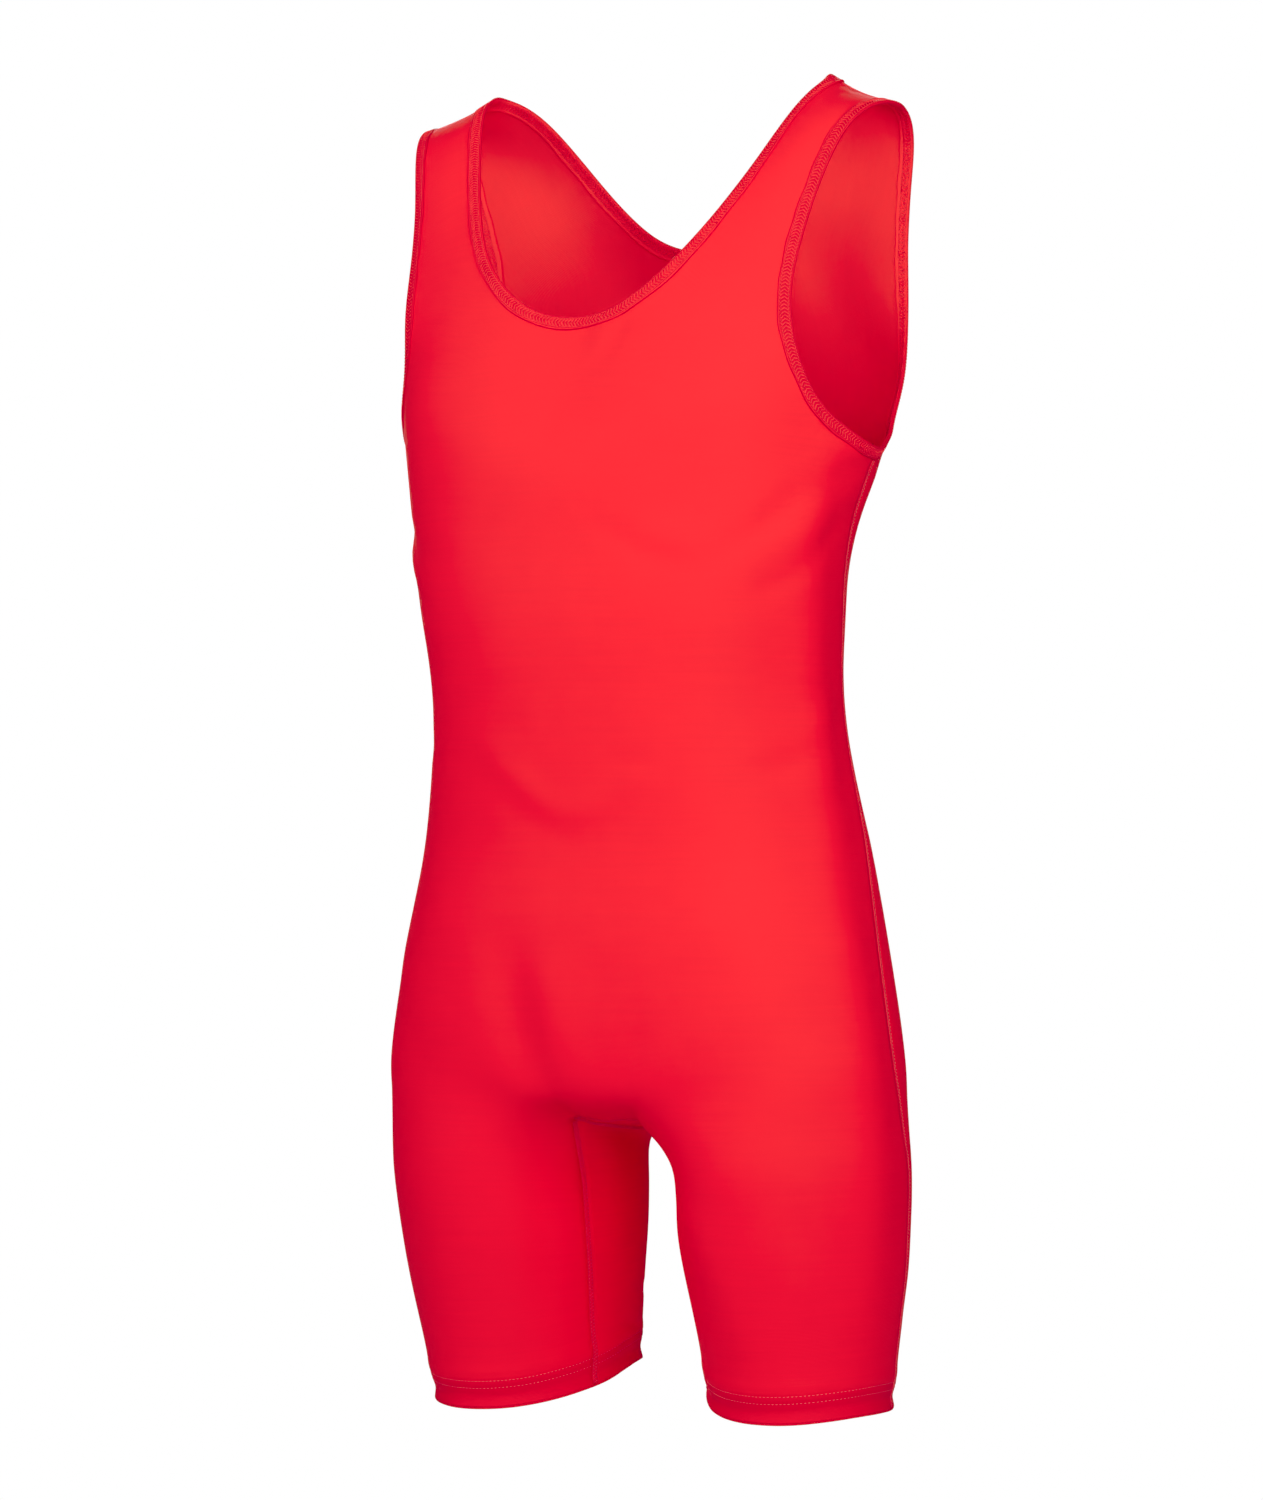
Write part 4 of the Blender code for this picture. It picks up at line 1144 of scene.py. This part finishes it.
strips = {}
for hand, opening in (('neck', 'neck'), ('left', 'arm_left'), ('right', 'arm_right')):
    strips[opening] = Strip(surface, P[openings[opening]], True, 2.6, -3.0, 12.0, 1.0, 1.0)
    phase = {'neck': 0.0, 'arm_left': 2.1, 'arm_right': 4.0}[opening]

    # where the shoulder seams' lapped edges stand up under the binding
    lumps = []
    for side in ('left', 'right'):
        if opening == 'neck' or opening == 'arm_' + side:
            chain = P[seams['shoulder_' + side][0]]
            far = np.linalg.norm(strips[opening].P[:, 3, None] - chain[None], axis=2).min(axis=1)
            lumps.append((strips[opening].s[int(far.argmin())], 1.0 if opening == 'neck' else 0.45))

    def wave(s, T, H, phase=phase, length=strips[opening].length, lumps=lumps):
        turn = 2 * math.pi * s / length
        wide = 1 + 0.035 * np.sin(turn * 9 + phase) + 0.03 * np.sin(turn * 23 + 2 * phase)
        puff = 1 + 0.05 * np.sin(turn * 31 + phase) + 0.04 * np.sin(turn * 57 + 3 * phase)
        lump = sum(size * np.exp(-(((s - place + length / 2) % length - length / 2) / 7.5) ** 2)
                   for place, size in lumps)
        T = np.where(T > 1.0, 1.0 + (T - 1.0) * wide, T) - 1.7 * lump * np.clip(1 - T / 9, 0, 1)
        return T, H * np.where(np.abs(H) > 1.0, puff, 1.0) * (1 + 0.7 * lump)

    name = 'neck_band' if opening == 'neck' else 'armhole_band_' + hand
    node_name = 'neck_binding' if opening == 'neck' else 'armhole_binding_' + hand
    # the armhole bands take the darker copy of the binding knit: painted shade
    band = keep(loft(name, strips[opening], BAND, 1.3, wave, BAND_PLACE),
                binding_knit if opening == 'neck' else armhole_knit_painted_shade, 'binding_knit', node_name)
    strip = strips[opening]
    outside = [stitch_line(strip, 1.6, 2.3, 1.06, 0.24), stitch_line(strip, 7.5, 2.3, 1.18, 0.24)]
    outside += chevrons(strip, 1.7, 7.4, 2.3, 1.16, 0.36)
    inside = [stitch_line(strip, 1.6, 2.3, -1.06, 0.24, rise=-0.2),
              stitch_line(strip, 7.5, 2.3, -1.12, 0.24, rise=-0.2)]
    inside += chevrons(strip, 1.7, 7.4, 2.3, -1.18, 0.34, rise=-0.1)
    keep(thread_object(name + '_stitches_out', outside), thread, 'binding_knit')
    keep(thread_object(name + '_stitches_in', inside), thread, 'binding_knit')

# Leg hems: the turned-up layer, and the fold that carries it under the panel's edge.
HEM = (
    (1.15, 0.60), (0.55, 0.48), (0.10, 0.15), (-0.10, -0.30), (-0.12, -0.75), (0.05, -1.25),
    (0.45, -1.65), (1.1, -1.88), (4.0, -1.90), (10.0, -1.90), (15.0, -1.86), (18.0, -1.88),
    (20.5, -1.90), (21.6, -1.86), (21.9, -1.45), (21.6, -0.98), (18.0, -0.95), (10.0, -0.93),
    (4.0, -0.92), (1.6, -0.88), (1.2, -0.70), (1.15, -0.20),
)
for hand in ('left', 'right'):
    opening = 'leg_' + hand
    strip = strips[opening] = Strip(surface, P[openings[opening]], True, 2.6, -1.0, 24.0, 1.0, 1.0)
    # the hem band takes the darker hem knit: painted shade
    keep(loft('leg_hem_band_' + hand, strip, HEM, 2.0), hem_knit_painted_shade, 'body_knit', 'leg_hem_' + hand)
    threads = [stitch_line(strip, 15.0, 2.7, 0.52, 0.17, fill=0.60, rise=0.20),
               stitch_line(strip, 20.0, 2.7, 0.52, 0.17, fill=0.60, rise=0.20)]
    keep(thread_object('leg_hem_stitches_' + hand, threads), hem_thread, 'body_knit')
    inner = [stitch_line(strip, 15.0, 2.7, -1.90, 0.18, rise=-0.2),
             stitch_line(strip, 20.0, 2.7, -1.90, 0.18, rise=-0.2)]
    inner += zigzag(strip, 15.0, 20.0, 2.7, -1.98, 0.18, rise=-0.12)
    keep(thread_object('leg_hem_loopers_' + hand, inner), thread, 'body_knit')

# Flatlock seams: a low lapped ridge through the two cloth edges, covered with threads.
RIDGE = ((-3.1, 0.30), (-2.8, 0.64), (-1.8, 0.80), (0.0, 0.84), (1.8, 0.80), (2.8, 0.64), (3.1, 0.30),
         (3.1, -0.30), (2.8, -0.64), (1.8, -0.80), (0.0, -0.84), (-1.8, -0.80), (-2.8, -0.64),
         (-3.1, -0.30))


def flatlock(name, chain, start, end, slot='body_knit', scale=0.66, pitch=2.4):
    line = catmull(P[chain], False, 2.5)
    far = np.concatenate([[0.0], np.cumsum(np.linalg.norm(np.diff(line, axis=0), axis=1))])
    line = line[(far >= start) & (far <= far[-1] - end)]
    strip = Strip(surface, line, False, 2.5, -5.0, 5.0, 1.0, 1.0)
    section = [(t * scale, h) for t, h in RIDGE]
    keep(loft(name + '_ridge', strip, section, 2.5), body_knit, slot)
    t = 2.3 * scale
    groups = [stitch_line(strip, -t, pitch, 0.74, 0.20), stitch_line(strip, t, pitch, 0.74, 0.20)]
    groups += zigzag(strip, -t, t, pitch, 0.92, 0.22)
    groups += [stitch_line(strip, -t, pitch, -0.74, 0.20, rise=-0.2),
               stitch_line(strip, t, pitch, -0.74, 0.20, rise=-0.2)]
    groups += zigzag(strip, -t, t, pitch, -0.92, 0.22, rise=-0.12)
    keep(thread_object(name + '_threads', groups), seam_thread, slot)


for hand in ('left', 'right'):
    flatlock('side_seam_' + hand, seams['side_' + hand][0], 9.5, 1.5)
    flatlock('inseam_' + hand, seams['inseam_' + hand][0], 0.5, 1.5)
    flatlock('shoulder_seam_' + hand, seams['shoulder_' + hand][0], 9.0, 9.0)
    flatlock('gusset_side_seam_' + hand, seams['gusset_side_' + hand][0], 1.0, 1.0, scale=0.6)
for end in ('front', 'back'):
    for number, chain in enumerate(seams['gusset_' + end]):
        flatlock('gusset_%s_seam_%d' % (end, number), chain, 0.0, 0.0, scale=0.6)

# ---------------------------------------------------------------- stage
WHITE = (1.0, 1.0, 1.0)
floor_mesh = bpy.data.meshes.new('floor')
floor_mesh.from_pydata([(-14, -14, -1.52), (14, -14, -1.52), (14, 14, -1.52), (-14, 14, -1.52)], [],
                       [(0, 1, 2, 3)])
floor = bpy.data.objects.new('floor', floor_mesh)
bpy.context.scene.collection.objects.link(floor)
pale = bpy.data.materials.new('pale_floor')
pale.use_nodes = True
tree = pale.node_tree
tree.nodes['Principled BSDF'].inputs['Base Color'].default_value = (0.62, 0.62, 0.62, 1.0)
tree.nodes['Principled BSDF'].inputs['Roughness'].default_value = 0.8
glow = tree.nodes.new('ShaderNodeEmission')
path = tree.nodes.new('ShaderNodeLightPath')
mix = tree.nodes.new('ShaderNodeMixShader')
tree.links.new(path.outputs['Is Camera Ray'], mix.inputs['Fac'])
tree.links.new(tree.nodes['Principled BSDF'].outputs[0], mix.inputs[1])
tree.links.new(glow.outputs[0], mix.inputs[2])
tree.links.new(mix.outputs[0], tree.nodes['Material Output'].inputs['Surface'])
floor.data.materials.append(pale)


def softbox(name, azimuth, elevation, distance, width, height_, power, aim=(0, 0, -0.45)):
    data = bpy.data.lights.new(name, 'AREA')
    data.shape = 'RECTANGLE'
    data.size, data.size_y, data.energy = width, height_, power
    lamp = bpy.data.objects.new(name, data)
    bpy.context.scene.collection.objects.link(lamp)
    a, e = math.radians(azimuth), math.radians(elevation)
    aim = Vector(aim)
    lamp.location = aim + Vector((math.sin(a) * math.cos(e), -math.cos(a) * math.cos(e),
                                  math.sin(e))) * distance
    lamp.rotation_euler = (aim - lamp.location).to_track_quat('-Z', 'Y').to_euler()
    lamp.visible_camera = False
    return lamp


softbox('key_right', 55, 14, 1.9, 1.2, 1.2, 22, (0, 0, -0.26))
softbox('key_left', -39, 13, 2.1, 1.0, 1.0, 21, (0, 0, -0.18))
softbox('front_low', 40, -10, 2.6, 1.2, 1.6, 12.5, (0, 0, -0.30))
softbox('front', 8, 20, 2.6, 1.2, 1.2, 12.5, (0, 0, -0.40))
softbox('top', 30, 72, 2.2, 1.6, 1.2, 8, (0, 0, -0.30))
softbox('rim_right', 96, 20, 2.6, 1.2, 1.6, 8, (0, 0, -0.30))
softbox('back', -150, 20, 2.6, 1.6, 1.6, 52, (0, 0, -0.30))
softbox('floor_light', -12, -42, 2.4, 1.6, 1.2, 5, (0, 0, -0.30))

world = bpy.data.worlds.new('studio')
bpy.context.scene.world = world
world.use_nodes = True
tree = world.node_tree
shown = tree.nodes['Background']
shown.inputs['Color'].default_value = (1, 1, 1, 1)
shown.inputs['Strength'].default_value = 1.0
lit = tree.nodes.new('ShaderNodeBackground')
lit.inputs['Color'].default_value = (1, 1, 1, 1)
lit.inputs['Strength'].default_value = 0.10
mix = tree.nodes.new('ShaderNodeMixShader')
path = tree.nodes.new('ShaderNodeLightPath')
tree.links.new(path.outputs['Is Camera Ray'], mix.inputs['Fac'])
tree.links.new(lit.outputs[0], mix.inputs[1])
tree.links.new(shown.outputs[0], mix.inputs[2])
tree.links.new(mix.outputs[0], tree.nodes['World Output'].inputs['Surface'])

bpy.context.scene.view_settings.view_transform = 'Standard'
bpy.context.scene.view_settings.look = 'None'
# The camera's own tone: green falls away in the reds' shade and comes back where they are bright.
tone = bpy.context.scene.view_settings
tone.use_curve_mapping = True
tone.curve_mapping.black_level = (0.0, 0.0260, 0.0)
green = tone.curve_mapping.curves[1]
for place, value in ((0.0078, 0.0050), (0.0141, 0.0250), (0.0222, 0.0395), (0.10, 0.120)):
    green.points.new(place, value)
for point in green.points:
    point.handle_type = 'VECTOR'
tone.curve_mapping.update()

# ---------------------------------------------------------------- camera
camera_data = bpy.data.cameras.new('camera')
camera_data.sensor_width = 36.0
camera_data.lens = 5916.0 / 1500.0 * 36.0
camera_data.shift_x = -13.5 / 1500.0
camera_data.shift_y = 80.0 / 1500.0
camera_data.clip_start, camera_data.clip_end = 0.1, 60.0
camera = bpy.data.objects.new('camera', camera_data)
camera.location = (4.0 * math.sin(math.radians(30)), -4.0 * math.cos(math.radians(30)), -0.495)
camera.rotation_euler = (math.radians(90), 0.0, math.radians(30))
bpy.context.scene.collection.objects.link(camera)
bpy.context.scene.camera = camera

total = 0
for obj in made:
    tris = sum(len(p.vertices) - 2 for p in obj.data.polygons)
    total += tris
    print('%-34s %7d' % (obj.name, tris))
print('triangles', total)
